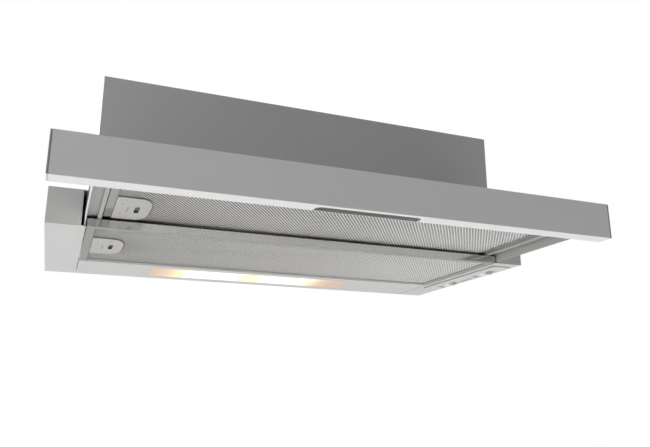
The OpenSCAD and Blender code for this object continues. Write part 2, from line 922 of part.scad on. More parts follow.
module lamp_tray() {
  x = about(lens_x, lens_w / 2 + tray_end);
  wide = lens_d / 2 + tray_margin;
  color(zinc) difference() {
    union() {
      along_x(x) tray_section(0, tray_h);
      span(past(x, tray_rim), about(lens_y, wide + tray_rim), [floor_top, floor_top + tray_wall]);
    }
    along_x(past(x, -tray_wall)) tray_section(tray_wall, tray_h - tray_wall);
    span(past(x, -tray_wall), about(lens_y, wide - tray_wall), [floor_top - over, floor_top + tray_wall]);
    bar_x_way(past([x[1] - tray_wall, x[1]]), lens_y, lamp_z, lead_hole_r);
  }
}

module lamp_lens() {
  x = about(lens_x, lens_w / 2);
  y = about(lens_y, lens_d / 2);
  tab_z = floor_top + seat;
  color(glass) union() {
    difference() {
      span(x, y, [floor_z, floor_z + lens_rim]);
      span(past(x, -lens_t), past(y, -lens_t), [floor_z + lens_t, floor_z + lens_rim + over]);
    }
    for (s = [-1, 1]) span(about(lens_x + s * (lens_w + lens_tab_l) / 2, (lens_tab_l + lens_t) / 2),
      about(lens_y, lens_tab_w / 2), [tab_z, tab_z + lens_tab_t]);
  }
}

module lampholders() {
  foot_top = floor_top + tray_h - tray_wall;
  color(panel_white) for (s = [-1, 1]) translate([lens_x, 0, 0]) on_side(s) difference() {
    union() {
      bar_x_way([lamp_far, lamp_far + holder_l], lens_y, lamp_z, holder_r);
      span([lamp_far + holder_l / 3, lamp_far + holder_l], about(lens_y, holder_foot_w / 2),
        [lamp_z, foot_top]);
    }
    bar_x_way([lamp_far - over, lamp_far + lamp_cap_l + seat], lens_y, lamp_z, lamp_cap_r + fit);
  }
}

module lamp(side) {
  nose = lamp_near + lamp_r;
  color(glass) translate([lens_x, 0, 0]) on_side(side) union() {
    translate([nose, lens_y, lamp_z]) sphere(r = lamp_r);
    bar_x_way([nose, lamp_far - seat], lens_y, lamp_z, lamp_r);
    bar_x_way([lamp_far - 2 * seat, lamp_far + lamp_cap_l], lens_y, lamp_z, lamp_cap_r);
  }
}

// Fan housing

module back_screw_places() {
  for (s = [-1, 1]) for (share = back_screw_shares)
    translate([s * back_screw_x, housing_back_y, share * housing_h]) children();
  for (s = [-1, 1])
    translate([s * top_screw_share * housing_x, housing_back_y, housing_h - fold_w / 2]) children();
}

module collar_screw_places() {
  for (a = [45 : 90 : 315])
    translate([collar_screw_r * cos(a), collar_y + collar_screw_r * sin(a), housing_h]) children();
}

module housing_shell() {
  color(housing_grey) difference() {
    span(about(0, housing_x), [housing_y0, housing_y1], [0, housing_h]);
    span(about(0, housing_x - sheet_t), past([housing_y0, housing_y1], -sheet_t),
      [-over, housing_h - sheet_t]);
    span(about(0, housing_x - fold_w), past([housing_y1 - sheet_t, housing_y1]), [-over, housing_h - fold_w]);
    translate([0, collar_y, housing_h - sheet_t - over])
      cylinder(r = outlet_r - collar_wall, h = sheet_t + 2 * over);
    translate([gland_x, gland_y, housing_h - sheet_t - over])
      cylinder(r = gland_r + fit, h = sheet_t + 2 * over);
    collar_screw_places() translate([0, 0, -sheet_t - over])
      cylinder(r = screw_hole_r, h = sheet_t + 2 * over);
    back_screw_places() rotate([90, 0, 0]) cylinder(r = screw_hole_r, h = sheet_t * 2 + over);
  }
}

module housing_back() {
  color(housing_grey) difference() {
    span(about(0, housing_x), [housing_y1, housing_back_y], [0, housing_h]);
    back_screw_places() rotate([90, 0, 0]) translate([0, 0, -over])
      cylinder(r = screw_hole_r, h = sheet_t + 2 * over);
  }
}

module housing_screws() {
  color(zinc) {
    back_screw_places() rotate([-90, 0, 0]) screw(screw_l);
    collar_screw_places() translate([0, 0, collar_flange_t]) screw(screw_l);
  }
}

// Fan and motor

function spiral(i, grow) = let(share = i / spiral_steps,
  a = tongue_angle + (360 - tongue_angle) * share,
  r = scroll_small + (scroll_large - scroll_small) * share + grow) [r * cos(a), r * sin(a)];

module scroll_outline(grow) {
  top = housing_h - sheet_t - fan_z;
  translate([fan_y, fan_z]) polygon(concat([for (i = [0 : spiral_steps]) spiral(i, grow)],
    [[scroll_large + grow, top], [tongue_y - grow, top]]));
}

module scroll_half(side) {
  flange_top = housing_h - sheet_t;
  color(zinc) on_side(side) difference() {
    union() {
      along_x([0, scroll_x]) scroll_outline(scroll_wall);
      span([0, duct_flange / 2], about(collar_y, duct_flange / 2),
        [flange_top - duct_flange_t, flange_top]);
    }
    along_x([-over, scroll_x - scroll_wall]) scroll_outline(0);
    bar_x_way([scroll_x - scroll_wall - over, scroll_x + over], fan_y, fan_z, inlet_r);
    collar_screw_places() translate([0, 0, -screw_l]) cylinder(r = screw_hole_r, h = screw_l);
  }
}

module wheel_ring(x) {
  difference() {
    bar_x_way(x, fan_y, fan_z, wheel_r);
    bar_x_way(past(x), fan_y, fan_z, wheel_r - blade_chord);
  }
}

module impeller() {
  half = wheel_w / 2;
  color(black) difference() {
    union() {
      along_x(about(0, half - rim_t / 2)) translate([fan_y, fan_z]) for (i = [0 : blade_count - 1])
        rotate(i * 360 / blade_count) translate([wheel_r - blade_chord / 2, 0]) rotate(blade_angle)
          square([blade_t, blade_chord], center = true);
      wheel_ring([-half, -half + rim_t]);
      wheel_ring([half - rim_t, half]);
      bar_x_way(about(0, disc_t / 2), fan_y, fan_z, wheel_r - blade_chord / 2);
      bar_x_way(about(0, hub_l), fan_y, fan_z, hub_r);
    }
    bar_x_way([-hub_l - over, hub_l + over], fan_y, fan_z, shaft_r + shaft_fit);
  }
}

module motor_shaft() {
  color(zinc) bar_x_way([-motor_face - shaft_in, shaft_out], fan_y, fan_z, shaft_r);
}

module motor() {
  end = -motor_face - motor_l;
  color(zinc) difference() {
    union() {
      bar_x_way([end, -motor_face], fan_y, fan_z, motor_r);
      bar_x_way([end - motor_cap_l, end], fan_y, fan_z, motor_cap_r);
    }
    bar_x_way([-motor_face - shaft_in - seat, -motor_face + over], fan_y, fan_z, shaft_r + shaft_fit);
  }
}

module arm_places() {
  for (i = [0 : arm_count - 1]) translate([0, fan_y, fan_z])
    rotate([arm_angle + i * 360 / arm_count, 0, 0]) children();
}

module motor_bracket() {
  x = [-scroll_x - rubber_l - bracket_t, -scroll_x - rubber_l];
  color(zinc) difference() {
    union() {
      bar_x_way(x, fan_y, fan_z, motor_r + mount_ring);
      arm_places() span(x, [0, rubber_at + rubber_r], about(0, arm_w / 2));
    }
    bar_x_way(past(x), fan_y, fan_z, bracket_bore);
    arm_places() bar_x_way(past(x), rubber_at, 0, screw_r);
  }
}

module motor_mounts() {
  color(black) arm_places() difference() {
    bar_x_way([-scroll_x - rubber_l, -scroll_x], rubber_at, 0, rubber_r);
    bar_x_way([-scroll_x - rubber_l - over, -scroll_x + over], rubber_at, 0, screw_r);
  }
}

// Duct collar and flaps

module outlet_collar() {
  color(black) difference() {
    translate([0, collar_y, housing_h]) difference() {
      union() {
        cylinder(r = outlet_r, h = outlet_h);
        cylinder(r = collar_flange_r, h = collar_flange_t);
      }
      translate([0, 0, -over]) cylinder(r = outlet_r - collar_wall - ledge_in, h = outlet_h + 2 * over);
      translate([0, 0, flap_rise - flap_t / 2 - seat]) cylinder(r = outlet_r - collar_wall, h = outlet_h);
    }
    collar_screw_places() translate([0, 0, -over])
      cylinder(r = screw_hole_r, h = collar_flange_t + 2 * over);
    bar_x_way(about(0, outlet_r - fit), collar_y, flap_z, pin_r + shaft_fit);
  }
}

module flap_pin() {
  color(zinc) bar_x_way(about(0, outlet_r - collar_wall / 2), collar_y, flap_z, pin_r);
}

// Half disc with every second knuckle of the hinge
module flap(side) {
  knuckle_l = 2 * (flap_r - knuckle_r) / knuckle_count;
  color(black) difference() {
    union() {
      translate([0, collar_y, flap_z - flap_t / 2]) intersection() {
        cylinder(r = flap_r, h = flap_t);
        span(about(0, flap_r), side < 0 ? [-flap_r, -flap_edge] : [flap_edge, flap_r], [0, flap_t]);
      }
      for (i = [0 : knuckle_count - 1]) if ((i % 2 == 0) == (side < 0)) {
        x0 = -flap_r + knuckle_r + i * knuckle_l + knuckle_gap / 2;
        x = [x0, x0 + knuckle_l - knuckle_gap];
        bar_x_way(x, collar_y, flap_z, knuckle_r);
        translate([0, collar_y, flap_z - flap_t / 2])
          span(x, side < 0 ? [-flap_edge - over, 0] : [0, flap_edge + over], [0, flap_t]);
      }
    }
    bar_x_way(about(0, flap_r + over), collar_y, flap_z, pin_r + shaft_fit);
  }
}

// Electrical parts

module terminal_box() {
  color(panel_white) difference() {
    span([terminal_x, terminal_x + terminal_w], [terminal_y, terminal_y + terminal_d], [0, terminal_h]);
    span(past([terminal_x, terminal_x + terminal_w], -terminal_wall),
      past([terminal_y, terminal_y + terminal_d], -terminal_wall), [terminal_wall, terminal_h + over]);
    translate([lamp_lead_x, lens_y, -over]) cylinder(r = lead_hole_r, h = terminal_wall + 2 * over);
  }
}

module terminal_cover() {
  color(panel_white) difference() {
    span([terminal_x, terminal_x + terminal_w], [terminal_y, terminal_y + terminal_d],
      [terminal_h, terminal_h + cover_t]);
    translate([gland_x, gland_y, terminal_h - over]) cylinder(r = lead_hole_r, h = cover_t + 2 * over);
  }
}

module capacitor() {
  color(panel_white) union() {
    bar_x_way([capacitor_x, capacitor_x + capacitor_l], capacitor_y + capacitor_r, capacitor_r, capacitor_r);
    bar_x_way([capacitor_x - capacitor_stud_r, capacitor_x], capacitor_y + capacitor_r, capacitor_r,
      capacitor_stud_r);
  }
}

module cable_gland() {
  color(black) difference() {
    translate([gland_x, gland_y, housing_h]) union() {
      cylinder(r = gland_hex_r, h = gland_hex_h, $fn = 6);
      translate([0, 0, -gland_in]) cylinder(r = gland_r, h = gland_in);
    }
    translate([gland_x, gland_y, housing_h - gland_in - over])
      cylinder(r = cord_r, h = gland_in + gland_hex_h + 2 * over);
  }
}

// Round lead through a list of points, with a ball at each bend
module lead(points) {
  for (i = [0 : len(points) - 2]) {
    step = points[i + 1] - points[i];
    along = norm(step);
    translate(points[i]) rotate([0, acos(step[2] / along), atan2(step[1], step[0])])
      cylinder(r = lead_r, h = along);
    if (i > 0) translate(points[i]) sphere(r = lead_r);
  }
}

module inner_wiring() {
  motor_end = -motor_face - motor_l - motor_cap_l;
  tray_x1 = lens_x + lamp_far + holder_l;
  color(black) {
    lead([[gland_x, gland_y, terminal_h + cover_t + seat], [gland_x, gland_y, housing_h - gland_in - seat]]);
    lead([[terminal_x - seat, lead_back_y, lead_low], [motor_lead_x, lead_back_y, lead_low],
      [motor_lead_x, fan_y, lead_low], [motor_lead_x, fan_y, fan_z], [motor_end - seat, fan_y, fan_z]]);
    lead([[tray_x1 + seat, lens_y, lamp_z], [lamp_lead_x, lens_y, lamp_z],
      [lamp_lead_x, lens_y, terminal_wall]]);
    lead([[terminal_x + terminal_w + seat, switch_lead_y - lead_r, lead_low],
      [switch_lead_x, switch_lead_y - lead_r, lead_low],
      [switch_lead_x, switch_lead_y, switch_lead_z], [switch_x, switch_lead_y, switch_lead_z],
      [switch_x, fan_switch_y + switch_l / 2 + seat, switch_lead_z - lead_low]]);
  }
}

front_bar();
end_cap(-1);  // end_cap_left
end_cap(1);  // end_cap_right
grip_liner();
drawer_fasteners();
drawer_rail(-1);  // drawer_rail_left
drawer_rail(1);  // drawer_rail_right
drawer_front_panel();
drawer_crossbar();
runner_inner(-1);  // runner_inner_left
runner_inner(1);  // runner_inner_right
ball_cage(-1);  // ball_cage_left
ball_cage(1);  // ball_cage_right
runner_balls();
runner_outer(-1);  // runner_outer_left
runner_outer(1);  // runner_outer_right
runner_hanger(-1);  // runner_hanger_left
runner_hanger(1);  // runner_hanger_right
hanger_rivets();
front_filter_frame();
front_filter_mesh();
front_filter_latch();
rear_filter_frame();
rear_filter_mesh();
rear_filter_latch();
side_box(-1);  // side_box_left
side_box(1);  // side_box_right
base_top_plate();
rear_strip();
control_plate();
light_switch();
light_knob();
fan_switch();
fan_knob();
drawer_switch();
drawer_switch_plunger();
lamp_tray();
lamp_lens();
lampholders();
lamp(-1);  // lamp_left
lamp(1);  // lamp_right
housing_shell();
housing_back();
housing_screws();
scroll_half(-1);  // scroll_left
scroll_half(1);  // scroll_right
impeller();
motor_shaft();
motor();
motor_bracket();
motor_mounts();
capacitor();
terminal_box();
terminal_cover();
inner_wiring();
cable_gland();
outlet_collar();
flap_pin();
flap(-1);  // flap_front
flap(1);  // flap_rear
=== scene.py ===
# %% [markdown]
# # Pull out range hood
# The metal solids come ready made from the frame: every node has its real size and place, in
# metres, with +Z up, -Y towards the cook and the origin in the top face of the base. This
# lesson dresses them: soft edges, grease mesh, latches, switches, lamps, paint and light.

# %% Load the frame
import json
import math

import bmesh
import bpy
from mathutils import Matrix, Vector


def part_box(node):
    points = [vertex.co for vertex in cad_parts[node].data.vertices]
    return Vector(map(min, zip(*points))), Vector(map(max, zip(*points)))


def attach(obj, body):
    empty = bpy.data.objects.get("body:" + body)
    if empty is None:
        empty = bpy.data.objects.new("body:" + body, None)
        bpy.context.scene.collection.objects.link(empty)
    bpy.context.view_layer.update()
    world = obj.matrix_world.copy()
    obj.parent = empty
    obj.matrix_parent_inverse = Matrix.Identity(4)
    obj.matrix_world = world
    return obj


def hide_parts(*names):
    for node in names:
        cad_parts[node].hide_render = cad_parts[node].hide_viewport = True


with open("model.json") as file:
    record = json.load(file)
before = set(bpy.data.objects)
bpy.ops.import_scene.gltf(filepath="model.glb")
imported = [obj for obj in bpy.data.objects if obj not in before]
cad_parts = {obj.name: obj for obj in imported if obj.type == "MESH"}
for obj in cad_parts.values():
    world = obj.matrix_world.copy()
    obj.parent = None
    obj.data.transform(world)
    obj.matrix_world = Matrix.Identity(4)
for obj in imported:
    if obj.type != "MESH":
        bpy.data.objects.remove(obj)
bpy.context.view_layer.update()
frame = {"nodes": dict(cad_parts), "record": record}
NODES = frame["nodes"]
RECORD = frame["record"]
BODY_OF = {name: body for body, names in RECORD["behaviour"]["bodies"].items() for name in names}
SLOT_OF = {part["node"]: part["material_slot"] for part in RECORD["subparts"]}
MM = 0.001

# %% [markdown]
# The photograph looks up at the hood from the front left. Its camera is known from the
# straight edges of the hood: where it stands, how far it turns to the right and upwards, and
# the width of its view. The lens is given for a sensor 36 mm wide.

# %% Camera
CAMERA_AT = Vector((-0.28040, -0.87169, -0.22277))
CAMERA_YAW = math.radians(21.872)
CAMERA_PITCH = math.radians(15.111)
CAMERA_ROLL = math.radians(-0.039)
SENSOR_W = 36.0
FOCAL_SHARE = 672.25 / 650.0


def aim(obj, direction, roll=0.0):
    """Turns a camera or a lamp so that it looks along a direction."""
    turn = direction.to_track_quat("-Z", "Y").to_matrix().to_4x4() @ Matrix.Rotation(roll, 4, "Z")
    obj.matrix_world = Matrix.Translation(obj.location) @ turn


camera = bpy.data.objects.new("camera", bpy.data.cameras.new("camera"))
bpy.context.scene.collection.objects.link(camera)
camera.data.sensor_width = SENSOR_W
camera.data.lens = SENSOR_W * FOCAL_SHARE
camera.data.clip_start = 10 * MM
camera.location = CAMERA_AT
aim(camera, Vector((math.sin(CAMERA_YAW) * math.cos(CAMERA_PITCH),
                    math.cos(CAMERA_YAW) * math.cos(CAMERA_PITCH),
                    math.sin(CAMERA_PITCH))), CAMERA_ROLL)
bpy.context.scene.camera = camera
print("lens", round(camera.data.lens, 2), "mm")

# %% [markdown]
# Node trees are easier to read when each node is one call. This helper adds a node to a shader
# tree or a geometry tree, sets what it is told, and takes plain values and other nodes' outputs
# alike for its inputs.


# %% Helpers for node trees
def node(tree, kind, wires=None, **settings):
    """Adds a node. wires gives values or outputs for its inputs, by name or by number."""
    made = tree.nodes.new(kind)
    for key, value in settings.items():
        setattr(made, key, value)
    for key, value in (wires or {}).items():
        if isinstance(value, bpy.types.NodeSocket):
            tree.links.new(value, made.inputs[key])
        else:
            made.inputs[key].default_value = value
    return made


def maths(tree, operation, *values):
    """One sum on plain numbers or outputs."""
    return node(tree, "ShaderNodeMath", dict(enumerate(values)), operation=operation).outputs[0]


def linear(code):
    """Linear colour for a colour written as six hexadecimal digits."""
    parts = [int(code[i:i + 2], 16) / 255 for i in (0, 2, 4)]
    light = [p / 12.92 if p <= 0.04045 else ((p + 0.055) / 1.055) ** 2.4 for p in parts]
    return (*light, 1.0)


print("grey", [round(c, 3) for c in linear("9b9b9b")])

# %% [markdown]
# The background is pure white, so the world is white for the camera and for reflections, and
# dimmer as a source of light. A white floor lies well below the hood, as a worktop does, and
# throws light up at the filters. One lamp lights from above, a large one from the left, and two
# weak ones add to the light from below.

# %% World, floor and lamps
WORLD_LIGHT = 0.03
WHITE = (1, 1, 1, 1)
FLOOR_Z = -0.95
FLOOR_HALF = 9.0
FLOOR_GREY = 0.93
FLOOR_GLOW = 0.25
TOP_LIGHT = 0.71
TOP_SPREAD = math.radians(70)
TOP_WAY = Vector((0.12, 0.1, -1.0))
# For each large lamp: where it is, the point that it faces, its size in metres and its power
AREA_LAMPS = {
    "left_lamp": ((-1.9, -0.15, 0.35), (0.0, 0.0, 0.0), 1.3, 66.0),
    "under_lamp": ((0.15, 0.15, -0.93), (0.15, 0.15, 0.0), 1.5, 2.4),
    "under_right_lamp": ((0.6, -0.3, -0.93), (0.3, -0.2, 0.0), 0.9, 5.6),
}

scene = bpy.context.scene
scene.view_settings.view_transform = "Standard"


def seen_directly(tree):
    """1 for rays from the camera, a mirror or glass, and 0 for rays that gather light."""
    path = node(tree, "ShaderNodeLightPath").outputs
    seen = maths(tree, "MAXIMUM", path["Is Camera Ray"], path["Is Glossy Ray"])
    return maths(tree, "MAXIMUM", seen, path["Is Transmission Ray"])


world = bpy.data.worlds.new("studio")
world.use_nodes = True
scene.world = world
sky = world.node_tree
sky.nodes.clear()
ambient = node(sky, "ShaderNodeBackground", {"Color": WHITE, "Strength": WORLD_LIGHT})
white = node(sky, "ShaderNodeBackground", {"Color": WHITE, "Strength": 1.0})
mix = node(sky, "ShaderNodeMixShader",
           {0: seen_directly(sky), 1: ambient.outputs[0], 2: white.outputs[0]})
node(sky, "ShaderNodeOutputWorld", {"Surface": mix.outputs[0]})


def floor_finish():
    """White floor that looks as white as the world behind it."""
    made = bpy.data.materials.new("floor")
    made.use_nodes = True
    tree = made.node_tree
    tree.nodes.clear()
    matt = node(tree, "ShaderNodeBsdfDiffuse", {"Color": (FLOOR_GREY, FLOOR_GREY, FLOOR_GREY, 1)})
    lit = node(tree, "ShaderNodeEmission", {"Color": WHITE, "Strength": FLOOR_GLOW})
    both = node(tree, "ShaderNodeAddShader", {0: matt.outputs[0], 1: lit.outputs[0]})
    out = node(tree, "ShaderNodeMixShader",
               {0: seen_directly(tree), 1: matt.outputs[0], 2: both.outputs[0]})
    node(tree, "ShaderNodeOutputMaterial", {"Surface": out.outputs[0]})
    return made


floor_mesh = bpy.data.meshes.new("floor")
corners = [(x * FLOOR_HALF, y * FLOOR_HALF, FLOOR_Z)
           for x, y in ((-1, -1), (1, -1), (1, 1), (-1, 1))]
floor_mesh.from_pydata(corners, [], [(0, 1, 2, 3)])
floor_mesh.materials.append(floor_finish())
floor = bpy.data.objects.new("floor", floor_mesh)
scene.collection.objects.link(floor)


def area_lamp(name, at, target, size, power):
    """Large soft lamp that faces a point, and that shows neither directly nor in a mirror."""
    lamp = bpy.data.objects.new(name, bpy.data.lights.new(name, "AREA"))
    lamp.data.shape = "SQUARE"
    lamp.data.size = size
    lamp.data.energy = power
    lamp.location = at
    lamp.visible_camera = False
    lamp.visible_glossy = False
    scene.collection.objects.link(lamp)
    aim(lamp, Vector(target) - Vector(at))


top = bpy.data.objects.new("top_lamp", bpy.data.lights.new("top_lamp", "SUN"))
top.data.energy = TOP_LIGHT
top.data.angle = TOP_SPREAD
scene.collection.objects.link(top)
aim(top, TOP_WAY)
for name, setting in AREA_LAMPS.items():
    area_lamp(name, *setting)

# %% [markdown]
# Paint, plastic and metal share one recipe. The colour wanders a little from place to place,
# fine noise roughens the gloss, and a small bump gives the grain of powder coat or of moulded
# plastic. Where the noise is stretched along one axis it becomes the brush lines of sheet metal.

# %% Recipe for a finish
FINISHES = {}
GLOSS_WANDER = 0.08
GRAIN_H = 0.2 * MM


def new_material(name):
    """Starts a finish, and gives its tree, its shader and its Object coordinates."""
    made = bpy.data.materials.new(name)
    made.use_nodes = True
    FINISHES[name] = made
    tree = made.node_tree
    place = node(tree, "ShaderNodeTexCoord").outputs["Object"]
    return tree, tree.nodes["Principled BSDF"], place


def shade_of(colour, share):
    """Linear colour that is a share of another one, white at most."""
    return (*(min(1.0, c * share) for c in linear(colour)[:3]), 1.0)


def blend(tree, amount, first, second):
    """Colour between two colours."""
    return node(tree, "ShaderNodeMix", {"Factor": amount, "A": first, "B": second},
                data_type="RGBA").outputs[2]


def rescaled(tree, value, start, end, low=0.0, high=1.0):
    """Number that goes from low to high while a value goes from start to end."""
    return node(tree, "ShaderNodeMapRange", {"Value": value, "From Min": start, "From Max": end,
                                             "To Min": low, "To Max": high}).outputs[0]


def finish(name, colour, rough, metal=0.0, wander=0.06, grain=(900, 900, 900), bump=0.02,
           blotch=14.0, zone=None, zone_colour="000000"):
    """Material with wandering colour, uneven gloss and a fine grain. zone is a function that
    marks, from the coordinates, where the surface has another colour."""
    tree, shader, place = new_material(name)
    patches = node(tree, "ShaderNodeTexNoise", {"Vector": place, "Scale": blotch, "Detail": 3.0})
    stretched = node(tree, "ShaderNodeMapping", {"Vector": place, "Scale": grain}).outputs[0]
    fine = node(tree, "ShaderNodeTexNoise",
                {"Vector": stretched, "Scale": 1.0, "Detail": 4.0}).outputs["Fac"]
    mean = maths(tree, "MULTIPLY_ADD", fine, 0.5,
                 maths(tree, "MULTIPLY", patches.outputs["Fac"], 0.5))
    shown = blend(tree, mean, shade_of(colour, 1 - wander), shade_of(colour, 1 + wander))
    if zone:
        place_xyz = node(tree, "ShaderNodeSeparateXYZ", {0: place}).outputs
        shown = blend(tree, zone(tree, place_xyz), shown, linear(zone_colour))
    tree.links.new(shown, shader.inputs["Base Color"])
    gloss = rescaled(tree, fine, 0.3, 0.7, rough * (1 - GLOSS_WANDER), rough * (1 + GLOSS_WANDER))
    tree.links.new(gloss, shader.inputs["Roughness"])
    relief = node(tree, "ShaderNodeBump", {"Height": fine, "Strength": bump, "Distance": GRAIN_H})
    tree.links.new(relief.outputs[0], shader.inputs["Normal"])
    shader.inputs["Metallic"].default_value = metal


print("recipe with gloss wandering by", GLOSS_WANDER)

# %% [markdown]
# Some surfaces have a second colour in one zone, and each such zone is painted light or shade:
# black painted shade on the upper part of the rails' outer walls, painted light on the lower
# faces of the switches, a painted highlight on the front of the rear filter, and painted shade
# where little light comes in, such as the finger slots and the gaps beside the filters. Each
# zone is a function of the coordinates, measured from the box of its node.

# %% Zones with another colour
# How near to the plane of a face or a wall a point counts as on it
FACE_NEAR = 0.3 * MM
WALL_NEAR = 0.5 * MM
FRONT_NEAR = 1.0 * MM
SWITCH_NEAR = 0.4 * MM
RAIL_LOW, RAIL_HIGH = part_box("drawer_rail_right")
# Above this height the rails' outer walls are painted black as painted shade
RAIL_PAINT_H = 12.7 * MM
SWITCH_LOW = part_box("light_switch")[0]
REAR_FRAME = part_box("rear_filter_frame")[0]
CAP_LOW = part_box("end_cap_left")[0]
INNER_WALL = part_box("side_box_right")[0]
GAP_LOW, GAP_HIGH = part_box("side_box_left")
GAP_H = 4.0 * MM
INNER_SHADE = 0.56
PLATE_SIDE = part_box("control_plate")[0]
MESH_LIT_FROM, MESH_LIT_TO = -230 * MM, 160 * MM
# Finger slots: place and half width, where the shade starts and ends, and how dark it gets
SLOT_FROM_RIGHT = 13.5 * MM
SLOT_HALF_W = 2.5 * MM
SLOT_SKIN = 0.15 * MM
SLOT_END = 8.0 * MM
SLOT_BLACK = 2.0 * MM
SLOT_GREY = 3.4 * MM
SLOT_SHADE = 0.22
SLOT_DARKEST = 0.97
SLOT_FAR_SIDE = 0.6


def above(tree, value, limit):
    """1 where a value is greater than a limit, else 0."""
    return maths(tree, "GREATER_THAN", value, limit)


def within(tree, value, middle, half):
    """1 where a value lies closer to a middle than a distance, else 0."""
    off = maths(tree, "ABSOLUTE", maths(tree, "SUBTRACT", value, middle))
    return maths(tree, "LESS_THAN", off, half)


def rail_wall_shade(tree, place):
    """Upper part of a rail's outer wall, painted black as painted shade where the slide lies in
    shadow.
    """
    outside = above(tree, maths(tree, "ABSOLUTE", place["X"]), RAIL_HIGH.x - WALL_NEAR)
    return maths(tree, "MULTIPLY", outside, above(tree, place["Z"], RAIL_LOW.z + RAIL_PAINT_H))


def switch_face_light(tree, place):
    """Lower face of a slide switch, which shows in its window, painted light grey on the black body
    as painted light.
    """
    return maths(tree, "LESS_THAN", place["Z"], SWITCH_LOW.z + SWITCH_NEAR)


def front_wall_highlight(tree, place):
    """Front wall of the rear filter's polished frame, painted lighter as a painted highlight."""
    return maths(tree, "MULTIPLY", within(tree, place["Y"], REAR_FRAME.y, FRONT_NEAR),
                 above(tree, place["Z"], REAR_FRAME.z + FACE_NEAR))


def slot_shade(which):
    """Shade inside the finger slot of one latch: grey on its slope, black under its deep end."""
    low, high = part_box(which + "_filter_latch")
    middle = (low.y + high.y) / 2
    slot_x = high.x - SLOT_FROM_RIGHT

    def shade(tree, place):
        inside = maths(tree, "MULTIPLY", within(tree, place["X"], slot_x, SLOT_HALF_W),
                       above(tree, place["Z"], low.z + SLOT_SKIN))
        at_end = maths(tree, "MULTIPLY",
                       rescaled(tree, place["X"], slot_x, slot_x + SLOT_HALF_W, 1.0, SLOT_FAR_SIDE),
                       above(tree, place["Y"], middle + SLOT_END))
        fade = rescaled(tree, place["Z"], low.z + SLOT_BLACK, low.z + SLOT_GREY,
                        SLOT_DARKEST, SLOT_SHADE)
        depth = maths(tree, "MAXIMUM", maths(tree, "MULTIPLY", at_end, fade), SLOT_SHADE)
        return maths(tree, "MULTIPLY", inside, depth)
    return shade


def lit_side(tree, place):
    """Light that falls into the mesh packs: none on the left, more towards the right."""
    return rescaled(tree, place["X"], MESH_LIT_FROM, MESH_LIT_TO)


def cap_underside_light(tree, place):
    """Lower face of an end cap, painted lighter as painted light from below."""
    return maths(tree, "LESS_THAN", place["Z"], CAP_LOW.z + FACE_NEAR)


def inner_wall(tree, place):
    """Walls of the side boxes beside the rear filter: the right one in half shade, and the
    left one dark in the gap along its lower edge."""
    right = maths(tree, "MULTIPLY", within(tree, place["X"], INNER_WALL.x, WALL_NEAR), INNER_SHADE)
    left = maths(tree, "MULTIPLY", within(tree, place["X"], GAP_HIGH.x, WALL_NEAR),
                 within(tree, place["Z"], GAP_LOW.z + GAP_H / 2, GAP_H / 2))
    return maths(tree, "MAXIMUM", left, right)


def plate_side_shade(tree, place):
    """Left side of the control plate, painted darker as painted shade."""
    return within(tree, place["X"], PLATE_SIDE.x, FACE_NEAR)


print("gap beside the rear filter at", round(GAP_HIGH.x / MM, 1), "mm")

# %% [markdown]
# Now the finishes themselves, with their colours as six hexadecimal digits. Most are named
# after the material slots of the frame; a few belong to pieces of this lesson only.

# %% Finishes
ALONG_X = (12, 2600, 2600)
ALONG_Y = (2600, 12, 2600)
BRUSHED = (1800, 60, 1800)
POWDER = (1400, 1400, 1400)
COARSE = (1500, 1500, 1500)
MOULDED = (2200, 2200, 2200)
SPANGLE = (260, 260, 260)

finish("bar_finish", "e4e4e4", 0.42, wander=0.02, grain=ALONG_X, bump=0.03)
# The caps' lighter lower faces are painted light
finish("cap_grey", "9a9a9a", 0.5, grain=COARSE, bump=0.05, zone=cap_underside_light, zone_colour="cfcfcf")
finish("grip_grey", "a6a4a1", 0.55, grain=COARSE, bump=0.05)
finish("base_paint", "c9c9c8", 0.45, wander=0.02, grain=POWDER, bump=0.03, zone=inner_wall,
       zone_colour="2c2b2a")
finish("housing_paint", "bababa", 0.45, wander=0.02, grain=POWDER, bump=0.03)
# The rails' black zone is painted shade
finish("rail_paint", "a9a8a6", 0.35, wander=0.03, grain=ALONG_Y, bump=0.03, zone=rail_wall_shade,
       zone_colour="161616")
finish("zinc", "b4b7ba", 0.32, metal=0.9, wander=0.12, grain=SPANGLE, bump=0.03, blotch=60)
finish("bright_steel", "c9cacb", 0.16, metal=1.0, wander=0.04, grain=BRUSHED)
finish("brass", "9b7d4c", 0.35, metal=1.0, wander=0.1)
# The frame's lighter front wall is a painted highlight
finish("filter_frame", "c0bfbd", 0.12, metal=1.0, wander=0.03, grain=BRUSHED, bump=0.015,
       zone=front_wall_highlight, zone_colour="d2d2d0")
finish("filter_mesh", "f0efec", 0.3, metal=0.5, grain=COARSE, bump=0.04)
# The core's dark colour is painted shade inside the pack, and its zone is painted light towards the
# right
finish("mesh_core", "3c3b3a", 0.6, wander=0.5, grain=(420, 420, 420), bump=0.5, zone=lit_side,
       zone_colour="a5a3a0")
for which in ("front", "rear"):
    finish(which + "_latch_plastic", "b5b3b0", 0.45, wander=0.02, grain=MOULDED, bump=0.04,
           zone=slot_shade(which), zone_colour="060606")
finish("latch_plastic", "b5b3b0", 0.45, wander=0.02, grain=MOULDED, bump=0.04)
# The plate's darker left side is painted shade
finish("panel_plastic", "cdccca", 0.4, wander=0.02, grain=MOULDED, bump=0.03, zone=plate_side_shade,
       zone_colour="a2a19f")
finish("knob_white", "e6e5e2", 0.35, wander=0.02, grain=MOULDED, bump=0.03)
finish("black_plastic", "2a2a2c", 0.4, wander=0.2, grain=COARSE, bump=0.05)
# The switches' light lower faces are painted light in their windows
finish("switch_body", "2a2a2c", 0.4, wander=0.2, grain=COARSE, zone=switch_face_light,
       zone_colour="d6d4d1")
